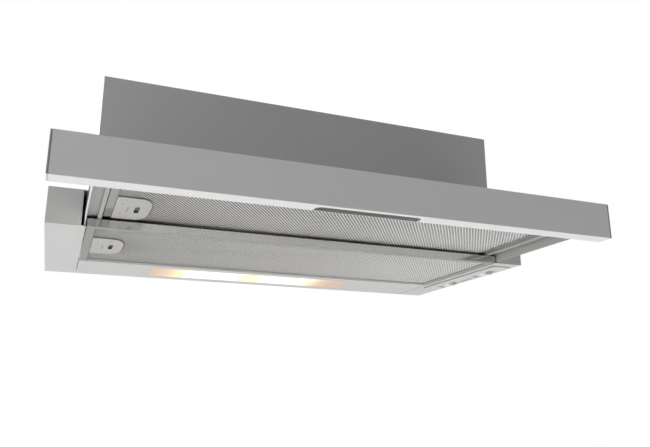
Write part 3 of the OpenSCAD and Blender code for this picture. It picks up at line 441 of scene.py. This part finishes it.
# The marks' darker colour is painted shade
finish("latch_mark", "6f6d6a", 0.5, grain=MOULDED)
finish("tick_red", "a8605f", 0.5, grain=MOULDED)
finish("rubber", "1c1c1c", 0.7, wander=0.2, grain=COARSE, bump=0.08)
finish("scroll_zinc", "a9abad", 0.38, metal=0.8, wander=0.2, grain=(90, 90, 90), blotch=120)
finish("motor_steel", "6c6e70", 0.4, metal=0.4, wander=0.1, grain=COARSE, bump=0.03)
finish("lead_black", "191919", 0.5, wander=0.2, grain=COARSE, bump=0.04)
print("finishes", len(FINISHES))

# %% [markdown]
# The lens is lit from behind by two lamps, so it glows white in front of each lamp, yellow
# beside it and peach at its far ends. This glow is painted and not simulated: it is a sum of
# two bell curves along the lens, placed by comparison with the photograph, and a ramp turns it
# into colour. The lamps' own glass has the same glow.

# %% Lens and lamp glass
LENS_LOW, LENS_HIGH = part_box("lamp_lens")
LENS_X = (LENS_LOW.x + LENS_HIGH.x) / 2
GLOWS = ((LENS_X - 62 * MM, 58 * MM), (LENS_X + 55 * MM, 48 * MM))
GLOW_STRENGTH = 0.9
FROST = 0.06
LENS_RAMP = ((0.08, "b99a84"), (0.3, "dbb592"), (0.45, "f6d9a4"), (0.62, "fffcc4"),
             (0.7, "fffff0"), (0.78, "ffffff"))
BULB_RAMP = ((0.0, "d9b98a"), (1.0, "fff8e6"))


def bell(tree, along, middle, width):
    """Bell curve of a coordinate round a middle."""
    off = maths(tree, "DIVIDE", maths(tree, "SUBTRACT", along, middle), width)
    square = maths(tree, "POWER", maths(tree, "ABSOLUTE", off), 2.0)
    return maths(tree, "EXPONENT", maths(tree, "MULTIPLY", square, -1.0))


def glowing(name, ramp_stops, colour, rough, frost=0.0):
    """Material that shines with the glow of both lamps. frost makes the glow uneven."""
    tree, shader, place = new_material(name)
    along = node(tree, "ShaderNodeSeparateXYZ", {0: place}).outputs["X"]
    left, right = (bell(tree, along, middle, width) for middle, width in GLOWS)
    glow = maths(tree, "ADD", left, right)
    if frost:
        grain = node(tree, "ShaderNodeTexNoise", {"Vector": place, "Scale": 60.0, "Detail": 2.0})
        glow = maths(tree, "MULTIPLY_ADD", grain.outputs["Fac"], frost,
                     maths(tree, "SUBTRACT", glow, frost / 2))
    ramp = node(tree, "ShaderNodeValToRGB", {"Fac": glow})
    stops = ramp.color_ramp.elements
    stops[0].position, stops[1].position = ramp_stops[0][0], ramp_stops[-1][0]
    stops[0].color, stops[1].color = linear(ramp_stops[0][1]), linear(ramp_stops[-1][1])
    for position, stop_colour in ramp_stops[1:-1]:
        stops.new(position).color = linear(stop_colour)
    tree.links.new(ramp.outputs["Color"], shader.inputs["Emission Color"])
    shader.inputs["Emission Strength"].default_value = GLOW_STRENGTH
    shader.inputs["Base Color"].default_value = linear(colour)
    shader.inputs["Roughness"].default_value = rough


glowing("lens", LENS_RAMP, "6f6c68", 0.3, FROST)
glowing("lamp_glass", BULB_RAMP, "c8b490", 0.1)
print("lens middle", round(LENS_X / MM, 1), "mm")

# %% [markdown]
# Folded sheet and moulded plastic have small round edges that catch the light. Each solid in
# the table below is copied, its loose triangles are merged into flat faces, and a live Bevel
# rounds every sharp edge. The copy then stands for the node it came from and rides on the
# same body.

# %% Soft edges for the solids
WELD = 0.002 * MM
FLAT = math.radians(0.6)
SHARP = math.radians(32)
BEVEL_STEPS = 2
FACE_WEIGHT = 100


def add_piece(name, mesh, body, slot, material=None):
    """Puts a mesh in the scene as a piece that rides on a body."""
    piece = bpy.data.objects.new(name, mesh)
    scene.collection.objects.link(piece)
    if not mesh.materials:
        mesh.materials.append(FINISHES[material or slot])
    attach(piece, body)
    return piece


def merged_copy(name):
    """Copy of a node's mesh with its triangles joined into flat faces."""
    work = bmesh.new()
    work.from_mesh(NODES[name].data)
    bmesh.ops.remove_doubles(work, verts=work.verts, dist=WELD)
    bmesh.ops.dissolve_limit(work, angle_limit=FLAT, verts=work.verts, edges=work.edges)
    for face in work.faces:
        face.smooth = True
    mesh = bpy.data.meshes.new(name + "_piece")
    work.to_mesh(mesh)
    work.free()
    return mesh


def soften(name, edge, material=None):
    """Piece with rounded edges that stands for a node."""
    piece = add_piece(name + "_piece", merged_copy(name), BODY_OF[name], SLOT_OF[name], material)
    round_off = piece.modifiers.new("soft edges", "BEVEL")
    round_off.width = edge
    round_off.segments = BEVEL_STEPS
    round_off.limit_method = "ANGLE"
    round_off.angle_limit = SHARP
    level = piece.modifiers.new("flat faces stay flat", "WEIGHTED_NORMAL")
    level.weight = FACE_WEIGHT
    level.keep_sharp = True
    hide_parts(name)


SHEET_EDGE = 0.18 * MM
KNOB_EDGE = 0.4 * MM
MOULD_EDGE = 0.5 * MM
SOFT_EDGE = {
    "front_bar": MOULD_EDGE, "end_cap_left": MOULD_EDGE, "end_cap_right": MOULD_EDGE,
    "grip_liner": KNOB_EDGE, "drawer_rail_left": SHEET_EDGE, "drawer_rail_right": SHEET_EDGE,
    "drawer_front_panel": SHEET_EDGE, "drawer_crossbar": SHEET_EDGE,
    "front_filter_frame": SHEET_EDGE, "rear_filter_frame": SHEET_EDGE,
    "front_filter_latch": MOULD_EDGE, "rear_filter_latch": MOULD_EDGE,
    "side_box_left": SHEET_EDGE, "side_box_right": SHEET_EDGE, "base_top_plate": SHEET_EDGE,
    "rear_strip": SHEET_EDGE, "control_plate": MOULD_EDGE, "light_knob": KNOB_EDGE,
    "fan_knob": KNOB_EDGE, "lamp_tray": SHEET_EDGE, "lamp_lens": KNOB_EDGE,
    "housing_shell": SHEET_EDGE, "housing_back": SHEET_EDGE, "outlet_collar": KNOB_EDGE,
    "cable_gland": MOULD_EDGE,
}
OWN_FINISH = {
    "front_filter_latch": "front_latch_plastic", "rear_filter_latch": "rear_latch_plastic",
    "light_knob": "knob_white", "fan_knob": "knob_white",
    "light_switch": "switch_body", "fan_switch": "switch_body",
}
for name, edge in SOFT_EDGE.items():
    soften(name, edge, OWN_FINISH.get(name))
print("softened", len(SOFT_EDGE))

# %% [markdown]
# A grease filter holds layers of expanded metal: sheet that is slit and pulled open, so that
# its strands make staggered diamonds. One crossing of two short strands is repeated on a
# staggered grid. The strands that go right and those that go left are tilted by angles of
# their own. The angles come from tries: the brightness of patches of the mesh in the render
# was compared with the same patches in the photograph. Geometry Nodes does this with the
# pitch, the strand sizes and the two tilts as named inputs.

# %% Expanded metal
PITCH_X = 3.94 * MM
PITCH_Y = 5.95 * MM
STRAND_W = 1.28 * MM
STRAND_T = 0.2 * MM
TILT_RIGHT = math.radians(5)
TILT_LEFT = math.radians(-21)
SHEET_W, SHEET_D = 400 * MM, 100 * MM
MESH_MARGIN = 2.0 * MM


def geometry_tree(name, inputs, on_points=False):
    """Geometry Nodes tree with named inputs, and its group input node."""
    tree = bpy.data.node_groups.new(name, "GeometryNodeTree")
    if on_points:
        tree.interface.new_socket("Points", in_out="INPUT", socket_type="NodeSocketGeometry")
    for title, kind, value in inputs:
        socket = tree.interface.new_socket(title, in_out="INPUT", socket_type=kind)
        if value is not None:
            socket.default_value = value
    tree.interface.new_socket("Geometry", in_out="OUTPUT", socket_type="NodeSocketGeometry")
    return tree, tree.nodes.new("NodeGroupInput").outputs


def close_tree(tree, geometry, material):
    """Ends a tree: instances made real, material set."""
    real = node(tree, "GeometryNodeRealizeInstances", {0: geometry})
    painted = node(tree, "GeometryNodeSetMaterial",
                   {"Geometry": real.outputs[0], "Material": material})
    node(tree, "NodeGroupOutput", {0: painted.outputs[0]})
    return tree


def vector(tree, x=0.0, y=0.0, z=0.0):
    """Vector of plain numbers or outputs."""
    return node(tree, "ShaderNodeCombineXYZ", {0: x, 1: y, 2: z}).outputs[0]


def staggered_grid(tree, sockets):
    """Points of the staggered grid that fill the asked width and depth."""
    layers = []
    for shift in (0.0, 0.5):
        count, reach, start = [], [], []
        for size, title in (("Width", "Pitch X"), ("Depth", "Pitch Y")):
            pitch = sockets[title]
            fits = maths(tree, "SUBTRACT", maths(tree, "DIVIDE", sockets[size], pitch), shift)
            count.append(maths(tree, "FLOOR", fits))
            reach.append(maths(tree, "MULTIPLY", maths(tree, "SUBTRACT", count[-1], 1.0), pitch))
            start.append(maths(tree, "MULTIPLY_ADD", reach[-1], 0.5,
                               maths(tree, "MULTIPLY", pitch, 0.5 + shift)))
        grid = node(tree, "GeometryNodeMeshGrid", {"Size X": reach[0], "Size Y": reach[1],
                                                   "Vertices X": count[0], "Vertices Y": count[1]})
        moved = node(tree, "GeometryNodeTransform",
                     {"Geometry": grid.outputs[0], "Translation": vector(tree, *start)})
        layers.append(moved.outputs[0])
    joined = node(tree, "GeometryNodeJoinGeometry")
    for layer in layers:
        tree.links.new(layer, joined.inputs[0])
    return node(tree, "GeometryNodeMeshToPoints", {"Mesh": joined.outputs[0]}).outputs[0]


def strand_crossing(tree, sockets):
    """Two strands that leave a crossing towards its two neighbours behind it."""
    across = maths(tree, "MULTIPLY", sockets["Pitch X"], 0.5)
    along = maths(tree, "MULTIPLY", sockets["Pitch Y"], 0.5)
    length = maths(tree, "SQRT", maths(tree, "ADD", maths(tree, "POWER", across, 2.0),
                                       maths(tree, "POWER", along, 2.0)))
    angle = maths(tree, "ARCTAN2", across, along)
    thick = sockets["Strand thickness"]
    size = vector(tree, sockets["Strand width"], maths(tree, "ADD", length, thick), thick)
    strand = node(tree, "GeometryNodeMeshCube", {"Size": size}).outputs[0]
    both = node(tree, "GeometryNodeJoinGeometry")
    for side, tilt in ((1.0, "Tilt to the right"), (-1.0, "Tilt to the left")):
        tilted = node(tree, "GeometryNodeTransform",
                      {"Geometry": strand, "Rotation": vector(tree, 0.0, sockets[tilt], 0.0)})
        at = vector(tree, maths(tree, "MULTIPLY", across, side / 2),
                    maths(tree, "MULTIPLY", along, 0.5))
        turn = vector(tree, 0.0, 0.0, maths(tree, "MULTIPLY", angle, -side))
        turned = node(tree, "GeometryNodeTransform",
                      {"Geometry": tilted.outputs[0], "Rotation": turn, "Translation": at})
        tree.links.new(turned.outputs[0], both.inputs[0])
    return both.outputs[0]


def expanded_metal_tree():
    """Sheet of expanded metal from a corner, with a pocket left out for the latch. Only the X
    and Y of the pocket's corners count."""
    tree, sockets = geometry_tree("expanded_metal", [
        ("Width", "NodeSocketFloat", SHEET_W), ("Depth", "NodeSocketFloat", SHEET_D),
        ("Pitch X", "NodeSocketFloat", PITCH_X), ("Pitch Y", "NodeSocketFloat", PITCH_Y),
        ("Strand width", "NodeSocketFloat", STRAND_W),
        ("Strand thickness", "NodeSocketFloat", STRAND_T),
        ("Tilt to the right", "NodeSocketFloat", TILT_RIGHT),
        ("Tilt to the left", "NodeSocketFloat", TILT_LEFT),
        ("Corner", "NodeSocketVector", (0, 0, 0)),
        ("Pocket low", "NodeSocketVector", (0, 0, 0)),
        ("Pocket high", "NodeSocketVector", (0, 0, 0)),
        ("Material", "NodeSocketMaterial", None)])
    placed = node(tree, "GeometryNodeTransform",
                  {"Geometry": staggered_grid(tree, sockets), "Translation": sockets["Corner"]})
    spot, low, high = (node(tree, "ShaderNodeSeparateXYZ", {0: source}).outputs for source in (
        node(tree, "GeometryNodeInputPosition").outputs[0], sockets["Pocket low"],
        sockets["Pocket high"]))
    inside = 1.0
    for axis in ("X", "Y"):
        inside = maths(tree, "MULTIPLY", inside, maths(tree, "GREATER_THAN", spot[axis], low[axis]))
        inside = maths(tree, "MULTIPLY", inside, maths(tree, "LESS_THAN", spot[axis], high[axis]))
    kept = node(tree, "GeometryNodeDeleteGeometry",
                {"Geometry": placed.outputs[0], "Selection": inside}, domain="POINT")
    spread = node(tree, "GeometryNodeInstanceOnPoints",
                  {"Points": kept.outputs[0], "Instance": strand_crossing(tree, sockets)})
    return close_tree(tree, spread.outputs[0], sockets["Material"])


def grown(name, tree, values, body, slot, stands_for=(), places=()):
    """Plain mesh made by a Geometry Nodes tree, as a piece that rides on a body.
    places are points with a direction, for a tree that puts a copy on each."""
    start = bpy.data.meshes.new(name + "_maker")
    start.from_pydata([at for at, _ in places], [], [])
    way = start.attributes.new("way", "FLOAT_VECTOR", "POINT")
    way.data.foreach_set("vector", [v for _, direction in places for v in direction])
    maker = bpy.data.objects.new(name + "_maker", start)
    scene.collection.objects.link(maker)
    modifier = maker.modifiers.new("grow", "NODES")
    modifier.node_group = tree
    for item in tree.interface.items_tree:
        if item.in_out == "INPUT" and item.name in values:
            modifier[item.identifier] = values[item.name]
    bpy.context.view_layer.update()
    evaluated = maker.evaluated_get(bpy.context.evaluated_depsgraph_get())
    mesh = bpy.data.meshes.new_from_object(evaluated)
    mesh.name = name
    bpy.data.objects.remove(maker)
    piece = add_piece(name, mesh, body, slot)
    if stands_for:
        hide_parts(*stands_for)
    print(name, len(mesh.polygons), "faces")


EXPANDED = expanded_metal_tree()

# %% [markdown]
# Each filter shows one sheet of expanded metal below. Behind it lies the rest of the pack, as
# a slab whose dark colour is painted shade between the strands; painted light makes it lighter
# towards the right. The drawer's filter is also seen from above, so each filter has a second
# sheet on top. The sheets end under the hem of their frame, and the lower one leaves out a
# pocket behind the latch.

# %% Mesh packs
STRAND_LIFT = 0.4 * MM
SHEET_DEPTH = 2.0 * MM
POCKET_HALF_D = 21 * MM
POCKET_SHORT = 0.8 * MM


def pack_core(which, body, low, high):
    """Inner layers of a pack, as a slab between its outer sheets, dark with painted shade."""
    mesh = merged_copy(which + "_filter_mesh")
    for vertex in mesh.vertices:
        if vertex.co.z < low.z + WELD:
            vertex.co.z = low.z + SHEET_DEPTH
        if vertex.co.z > high.z - WELD:
            vertex.co.z = high.z - SHEET_DEPTH
    core = add_piece(which + "_mesh_core", mesh, body, "filter_mesh", "mesh_core")
    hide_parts(which + "_filter_mesh")


def mesh_pack(which, body):
    """Sheets and core of one filter."""
    low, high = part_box(which + "_filter_mesh")
    pack_core(which, body, low, high)
    latch_low, latch_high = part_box(which + "_filter_latch")
    middle = (latch_low.y + latch_high.y) / 2
    pocket = {"Pocket low": (low.x, middle - POCKET_HALF_D, low.z),
              "Pocket high": (latch_high.x - POCKET_SHORT, middle + POCKET_HALF_D, low.z)}
    corner = (low.x + MESH_MARGIN / 2, low.y + MESH_MARGIN / 2)
    common = {"Width": high.x - low.x - MESH_MARGIN, "Depth": high.y - low.y - MESH_MARGIN,
              "Material": FINISHES["filter_mesh"]}
    below = {**common, **pocket, "Corner": (*corner, low.z + STRAND_LIFT)}
    grown(which + "_mesh_below", EXPANDED, below, body, "filter_mesh")
    over = {**common, "Corner": (*corner, high.z - STRAND_LIFT)}
    grown(which + "_mesh_above", EXPANDED, over, body, "filter_mesh")


for which, body in (("front", "drawer"), ("rear", "rear_filter")):
    mesh_pack(which, body)

# %% [markdown]
# Screws, rivets and balls are small things that repeat. The frame says where each one is: every
# loose part of a node's mesh is one fastener, its box gives the middle, and the longest or the
# shortest side of the box is the way it points. Geometry Nodes then put a finished copy on each
# of these places.

# %% Where the fasteners are
RIVET_LIMIT = 4.0 * MM


def loose_parts(name):
    """Lowest and highest corner of each loose part of a node."""
    work = bmesh.new()
    work.from_mesh(NODES[name].data)
    bmesh.ops.remove_doubles(work, verts=work.verts, dist=WELD)
    left = set(work.verts)
    boxes = []
    while left:
        stack = [left.pop()]
        low, high = stack[0].co.copy(), stack[0].co.copy()
        while stack:
            vertex = stack.pop()
            low = Vector(map(min, low, vertex.co))
            high = Vector(map(max, high, vertex.co))
            for edge in vertex.link_edges:
                other = edge.other_vert(vertex)
                if other in left:
                    left.remove(other)
                    stack.append(other)
        boxes.append((low, high))
    work.free()
    return sorted(boxes, key=lambda box: tuple(box[0]))


def fastener_places(name, head_h, rivets):
    """Points under the heads of a node's screws or rivets, with the way that they point."""
    places = []
    for low, high in loose_parts(name):
        size = high - low
        if (min(size) < RIVET_LIMIT) != rivets:
            continue
        axis = list(size).index(min(size) if rivets else max(size))
        way = Vector((axis == 0, axis == 1, axis == 2))
        at = (low + high) / 2
        at[axis] = high[axis] - head_h
        places.append((tuple(at), tuple(way)))
    return places


print("housing screws", len(fastener_places("housing_screws", 0.0, False)))

# %% [markdown]
# A screw is half of a flattened ball with a cross cut into it, on a round shank. A rivet is the
# same without the cross, and has a second head. One function makes both trees, and their named
# inputs are the radii and lengths.

# %% Screws and rivets
SCREW_HEAD_R = 3.4 * MM
SCREW_HEAD_H = 1.8 * MM
SCREW_SHANK_R = 1.9 * MM
SCREW_SHANK_L = 7.0 * MM
CROSS_W = 0.9 * MM
CROSS_DEPTH = 1.1 * MM
RIVET_HEAD_R = 2.2 * MM
RIVET_HEAD_H = 0.6 * MM
RIVET_SHANK_R = 1.5 * MM
ROUND_STEPS = 24
DOME_RINGS = 12
CROSS_REACH = 1.15


def fastener_tree(name, with_cross, heads):
    """Fastener on each point, turned the way that the point's attribute says."""
    tree, sockets = geometry_tree(name, [
        ("Head radius", "NodeSocketFloat", SCREW_HEAD_R),
        ("Head height", "NodeSocketFloat", SCREW_HEAD_H),
        ("Shank radius", "NodeSocketFloat", SCREW_SHANK_R),
        ("Shank length", "NodeSocketFloat", SCREW_SHANK_L),
        ("Cross width", "NodeSocketFloat", CROSS_W),
        ("Cross depth", "NodeSocketFloat", CROSS_DEPTH),
        ("Material", "NodeSocketMaterial", None)], on_points=True)
    ball = node(tree, "GeometryNodeMeshUVSphere",
                {"Segments": ROUND_STEPS, "Rings": DOME_RINGS, "Radius": 1.0})
    dome = node(tree, "GeometryNodeTransform", {"Geometry": ball.outputs[0], "Scale": vector(
        tree, sockets["Head radius"], sockets["Head radius"], sockets["Head height"])})
    wide = maths(tree, "MULTIPLY", sockets["Head radius"], 3.0)
    below = node(tree, "GeometryNodeMeshCube", {"Size": vector(tree, wide, wide, wide)})
    down = vector(tree, 0.0, 0.0, maths(tree, "MULTIPLY", wide, -0.5))
    cuts = [node(tree, "GeometryNodeTransform",
                 {"Geometry": below.outputs[0], "Translation": down}).outputs[0]]
    if with_cross:
        floor_at = maths(tree, "SUBTRACT", sockets["Head height"], sockets["Cross depth"])
        middle = maths(tree, "ADD", floor_at, sockets["Head height"])
        arm = maths(tree, "MULTIPLY", sockets["Head radius"], CROSS_REACH)
        tall = maths(tree, "MULTIPLY", sockets["Head height"], 2.0)
        for across, along in ((arm, sockets["Cross width"]), (sockets["Cross width"], arm)):
            bar = node(tree, "GeometryNodeMeshCube", {"Size": vector(tree, across, along, tall)})
            cuts.append(node(tree, "GeometryNodeTransform", {"Geometry": bar.outputs[0],
                        "Translation": vector(tree, 0.0, 0.0, middle)}).outputs[0])
    head = dome.outputs[0]
    for cut in cuts:
        trimmed = node(tree, "GeometryNodeMeshBoolean", {"Mesh 1": head},
                       operation="DIFFERENCE", solver="EXACT")
        tree.links.new(cut, trimmed.inputs["Mesh 2"])
        head = trimmed.outputs[0]
    shank = node(tree, "GeometryNodeMeshCylinder",
                 {"Vertices": ROUND_STEPS, "Radius": sockets["Shank radius"],
                  "Depth": sockets["Shank length"]})
    sunk = node(tree, "GeometryNodeTransform", {"Geometry": shank.outputs[0], "Translation": vector(
        tree, 0.0, 0.0, maths(tree, "MULTIPLY", sockets["Shank length"], -0.5))})
    whole = node(tree, "GeometryNodeJoinGeometry")
    tree.links.new(sunk.outputs[0], whole.inputs[0])
    tree.links.new(head, whole.inputs[0])
    if heads == 2:
        end = vector(tree, 0.0, 0.0, maths(tree, "MULTIPLY", sockets["Shank length"], -1.0))
        far = node(tree, "GeometryNodeTransform",
                   {"Geometry": head, "Rotation": (math.pi, 0, 0), "Translation": end})
        tree.links.new(far.outputs[0], whole.inputs[0])
    way = node(tree, "GeometryNodeInputNamedAttribute", {"Name": "way"},
               data_type="FLOAT_VECTOR")
    turn = node(tree, "FunctionNodeAlignRotationToVector", {"Vector": way.outputs[0]}, axis="Z")
    copies = node(tree, "GeometryNodeInstanceOnPoints",
                  {"Points": sockets["Points"], "Instance": whole.outputs[0],
                   "Rotation": turn.outputs[0]})
    return close_tree(tree, copies.outputs[0], sockets["Material"])


SCREWS = fastener_tree("screws", with_cross=True, heads=1)
RIVETS = fastener_tree("rivets", with_cross=False, heads=2)
SCREW_SIZES = {"Head radius": SCREW_HEAD_R, "Head height": SCREW_HEAD_H,
               "Material": FINISHES["zinc"]}
RIVET_SIZES = {"Head radius": RIVET_HEAD_R, "Head height": RIVET_HEAD_H,
               "Shank radius": RIVET_SHANK_R, "Material": FINISHES["zinc"]}


def rivet_grip(name):
    """Thickness that the rivets of a node hold together."""
    shortest = [min(high - low) for low, high in loose_parts(name)]
    return [size for size in shortest if size < RIVET_LIMIT][0] - 2 * RIVET_HEAD_H


def screw_set(name, node_name, body):
    """Screws in the places of a node's screws."""
    grown(name, SCREWS, SCREW_SIZES, body, "zinc", (node_name,),
          fastener_places(node_name, SCREW_HEAD_H, False))


def rivet_set(name, node_name, body):
    """Rivets in the places of a node's rivets, as long as those."""
    grown(name, RIVETS, {**RIVET_SIZES, "Shank length": rivet_grip(node_name)}, body, "zinc",
          (node_name,), fastener_places(node_name, RIVET_HEAD_H, True))


screw_set("housing_screw_set", "housing_screws", "base")
rivet_set("hanger_rivet_set", "hanger_rivets", "base")
screw_set("bar_screw_set", "drawer_fasteners", "drawer")
rivet_set("crossbar_rivet_set", "drawer_fasteners", "drawer")

# %% [markdown]
# The bearing balls are bright steel balls in a row. A ball of 16 by 12 faces with smooth
# shading is round enough for its 3 mm.

# %% Bearing balls
BALL_R = 1.5 * MM
BALL_SEGMENTS = 16
BALL_RINGS = 12


def ball_tree():
    """Smooth ball on each point."""
    tree, sockets = geometry_tree("balls", [
        ("Radius", "NodeSocketFloat", BALL_R),
        ("Material", "NodeSocketMaterial", None)], on_points=True)
    ball = node(tree, "GeometryNodeMeshUVSphere",
                {"Segments": BALL_SEGMENTS, "Rings": BALL_RINGS, "Radius": sockets["Radius"]})
    smooth = node(tree, "GeometryNodeSetShadeSmooth", {"Geometry": ball.outputs[0]})
    copies = node(tree, "GeometryNodeInstanceOnPoints",
                  {"Points": sockets["Points"], "Instance": smooth.outputs[0]})
    return close_tree(tree, copies.outputs[0], sockets["Material"])


balls = [(tuple((low + high) / 2), (0.0, 0.0, 1.0)) for low, high in loose_parts("runner_balls")]
grown("ball_set", ball_tree(), {"Material": FINISHES["bright_steel"]}, "ball_cages", "bright_steel",
      ("runner_balls",), balls)

# %% [markdown]
# The latches carry a few moulded marks that show which way they slide: a curved rib and two
# small knobs. Each mark is a thin solid on the face of the plate, made in mesh code. Their
# darker colour is painted shade.

# %% Latch marks
MARK_H = 0.25 * MM
PLATE_L = 36 * MM
KNOB_R = 0.9 * MM
KNOB_TAPER = 0.8
KNOB_STEPS = 20
KNOB_X = 6.6 * MM
KNOB_Y = 17.2 * MM
RIB_X = 13.5 * MM
RIB_W = 0.8 * MM
RIB_R = 40.0 * MM
RIB_FROM, RIB_TO = math.radians(-12), math.radians(17)
RIB_STEPS = 12


def latch_marks(which, body):
    """Curved rib and two knobs on the finger plate of a latch."""
    low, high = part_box(which + "_filter_latch")
    plate_x = high.x - PLATE_L
    middle = (low.y + high.y) / 2
    work = bmesh.new()
    for side in (-1, 1):
        at = (plate_x + KNOB_X, middle + side * KNOB_Y, low.z - MARK_H / 2)
        bmesh.ops.create_cone(work, cap_ends=True, segments=KNOB_STEPS, radius1=KNOB_R * KNOB_TAPER,
                              radius2=KNOB_R, depth=MARK_H, matrix=Matrix.Translation(at))
    ring = []
    centre_x = plate_x + RIB_X - RIB_R
    outline = ((-RIB_W / 2, 0), (RIB_W / 2, 0), (RIB_W / 4, MARK_H), (-RIB_W / 4, MARK_H))
    for i in range(RIB_STEPS + 1):
        angle = RIB_FROM + (RIB_TO - RIB_FROM) * i / RIB_STEPS
        way_x, way_y = math.cos(angle), math.sin(angle)
        ring.append([work.verts.new((centre_x + (RIB_R + off) * way_x,
                                     middle + (RIB_R + off) * way_y, low.z - down))
                     for off, down in outline])
    for before, after in zip(ring, ring[1:]):
        for i in range(4):
            work.faces.new((before[i], before[(i + 1) % 4], after[(i + 1) % 4], after[i]))
    work.faces.new(ring[0][::-1])
    work.faces.new(ring[-1])
    bmesh.ops.recalc_face_normals(work, faces=work.faces)
    mesh = bpy.data.meshes.new(which + "_latch_marks")
    work.to_mesh(mesh)
    work.free()
    add_piece(which + "_latch_marks", mesh, body, "latch_plastic", "latch_mark")
    print(which, "latch marks", len(mesh.polygons), "faces")


for which, body in (("front", "front_latch"), ("rear", "rear_latch")):
    latch_marks(which, body)

# %% [markdown]
# Between the two slide switches the control plate has a row of small printed ticks, like the
# steps of a scale. One tick is a thin plate, and Geometry Nodes set them out in a row.

# %% Ticks on the control plate
TICK_COUNT = 7
TICK_PITCH = 4.4 * MM
TICK_SIZE = (4.8 * MM, 2.2 * MM, 0.06 * MM)
TICK_MIDDLE = (287.0 * MM, -26.0 * MM)


def tick_tree():
    """Row of ticks round a middle, along Y."""
    tree, sockets = geometry_tree("ticks", [
        ("Count", "NodeSocketInt", TICK_COUNT), ("Pitch", "NodeSocketFloat", TICK_PITCH),
        ("Size", "NodeSocketVector", TICK_SIZE), ("Middle", "NodeSocketVector", (0, 0, 0)),
        ("Material", "NodeSocketMaterial", None)])
    gaps = maths(tree, "SUBTRACT", sockets["Count"], 1.0)
    reach = maths(tree, "MULTIPLY", gaps, sockets["Pitch"])
    half = vector(tree, 0.0, maths(tree, "MULTIPLY", reach, -0.5), 0.0)
    first = node(tree, "ShaderNodeVectorMath", {0: sockets["Middle"], 1: half}, operation="ADD")
    row = node(tree, "GeometryNodeMeshLine",
               {"Count": sockets["Count"], "Start Location": first.outputs[0],
                "Offset": vector(tree, 0.0, sockets["Pitch"], 0.0)}, mode="OFFSET")
    tick = node(tree, "GeometryNodeMeshCube", {"Size": sockets["Size"]})
    copies = node(tree, "GeometryNodeInstanceOnPoints",
                  {"Points": row.outputs[0], "Instance": tick.outputs[0]})
    return close_tree(tree, copies.outputs[0], sockets["Material"])


PLATE_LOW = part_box("control_plate")[0].z
TICKS = {"Middle": (*TICK_MIDDLE, PLATE_LOW - TICK_SIZE[2] / 2), "Material": FINISHES["tick_red"]}
grown("control_ticks", tick_tree(), TICKS, "base", "panel_plastic")

# %% [markdown]
# Everything that has no piece of its own keeps its solid and gets the finish of its slot.

# %% Finish the remaining nodes
hidden = {name for name, obj in NODES.items() if obj.hide_render}
for name, obj in NODES.items():
    if name not in hidden:
        obj.data.materials.clear()
        obj.data.materials.append(FINISHES[OWN_FINISH.get(name, SLOT_OF[name])])
print("kept as they are", len(NODES) - len(hidden))
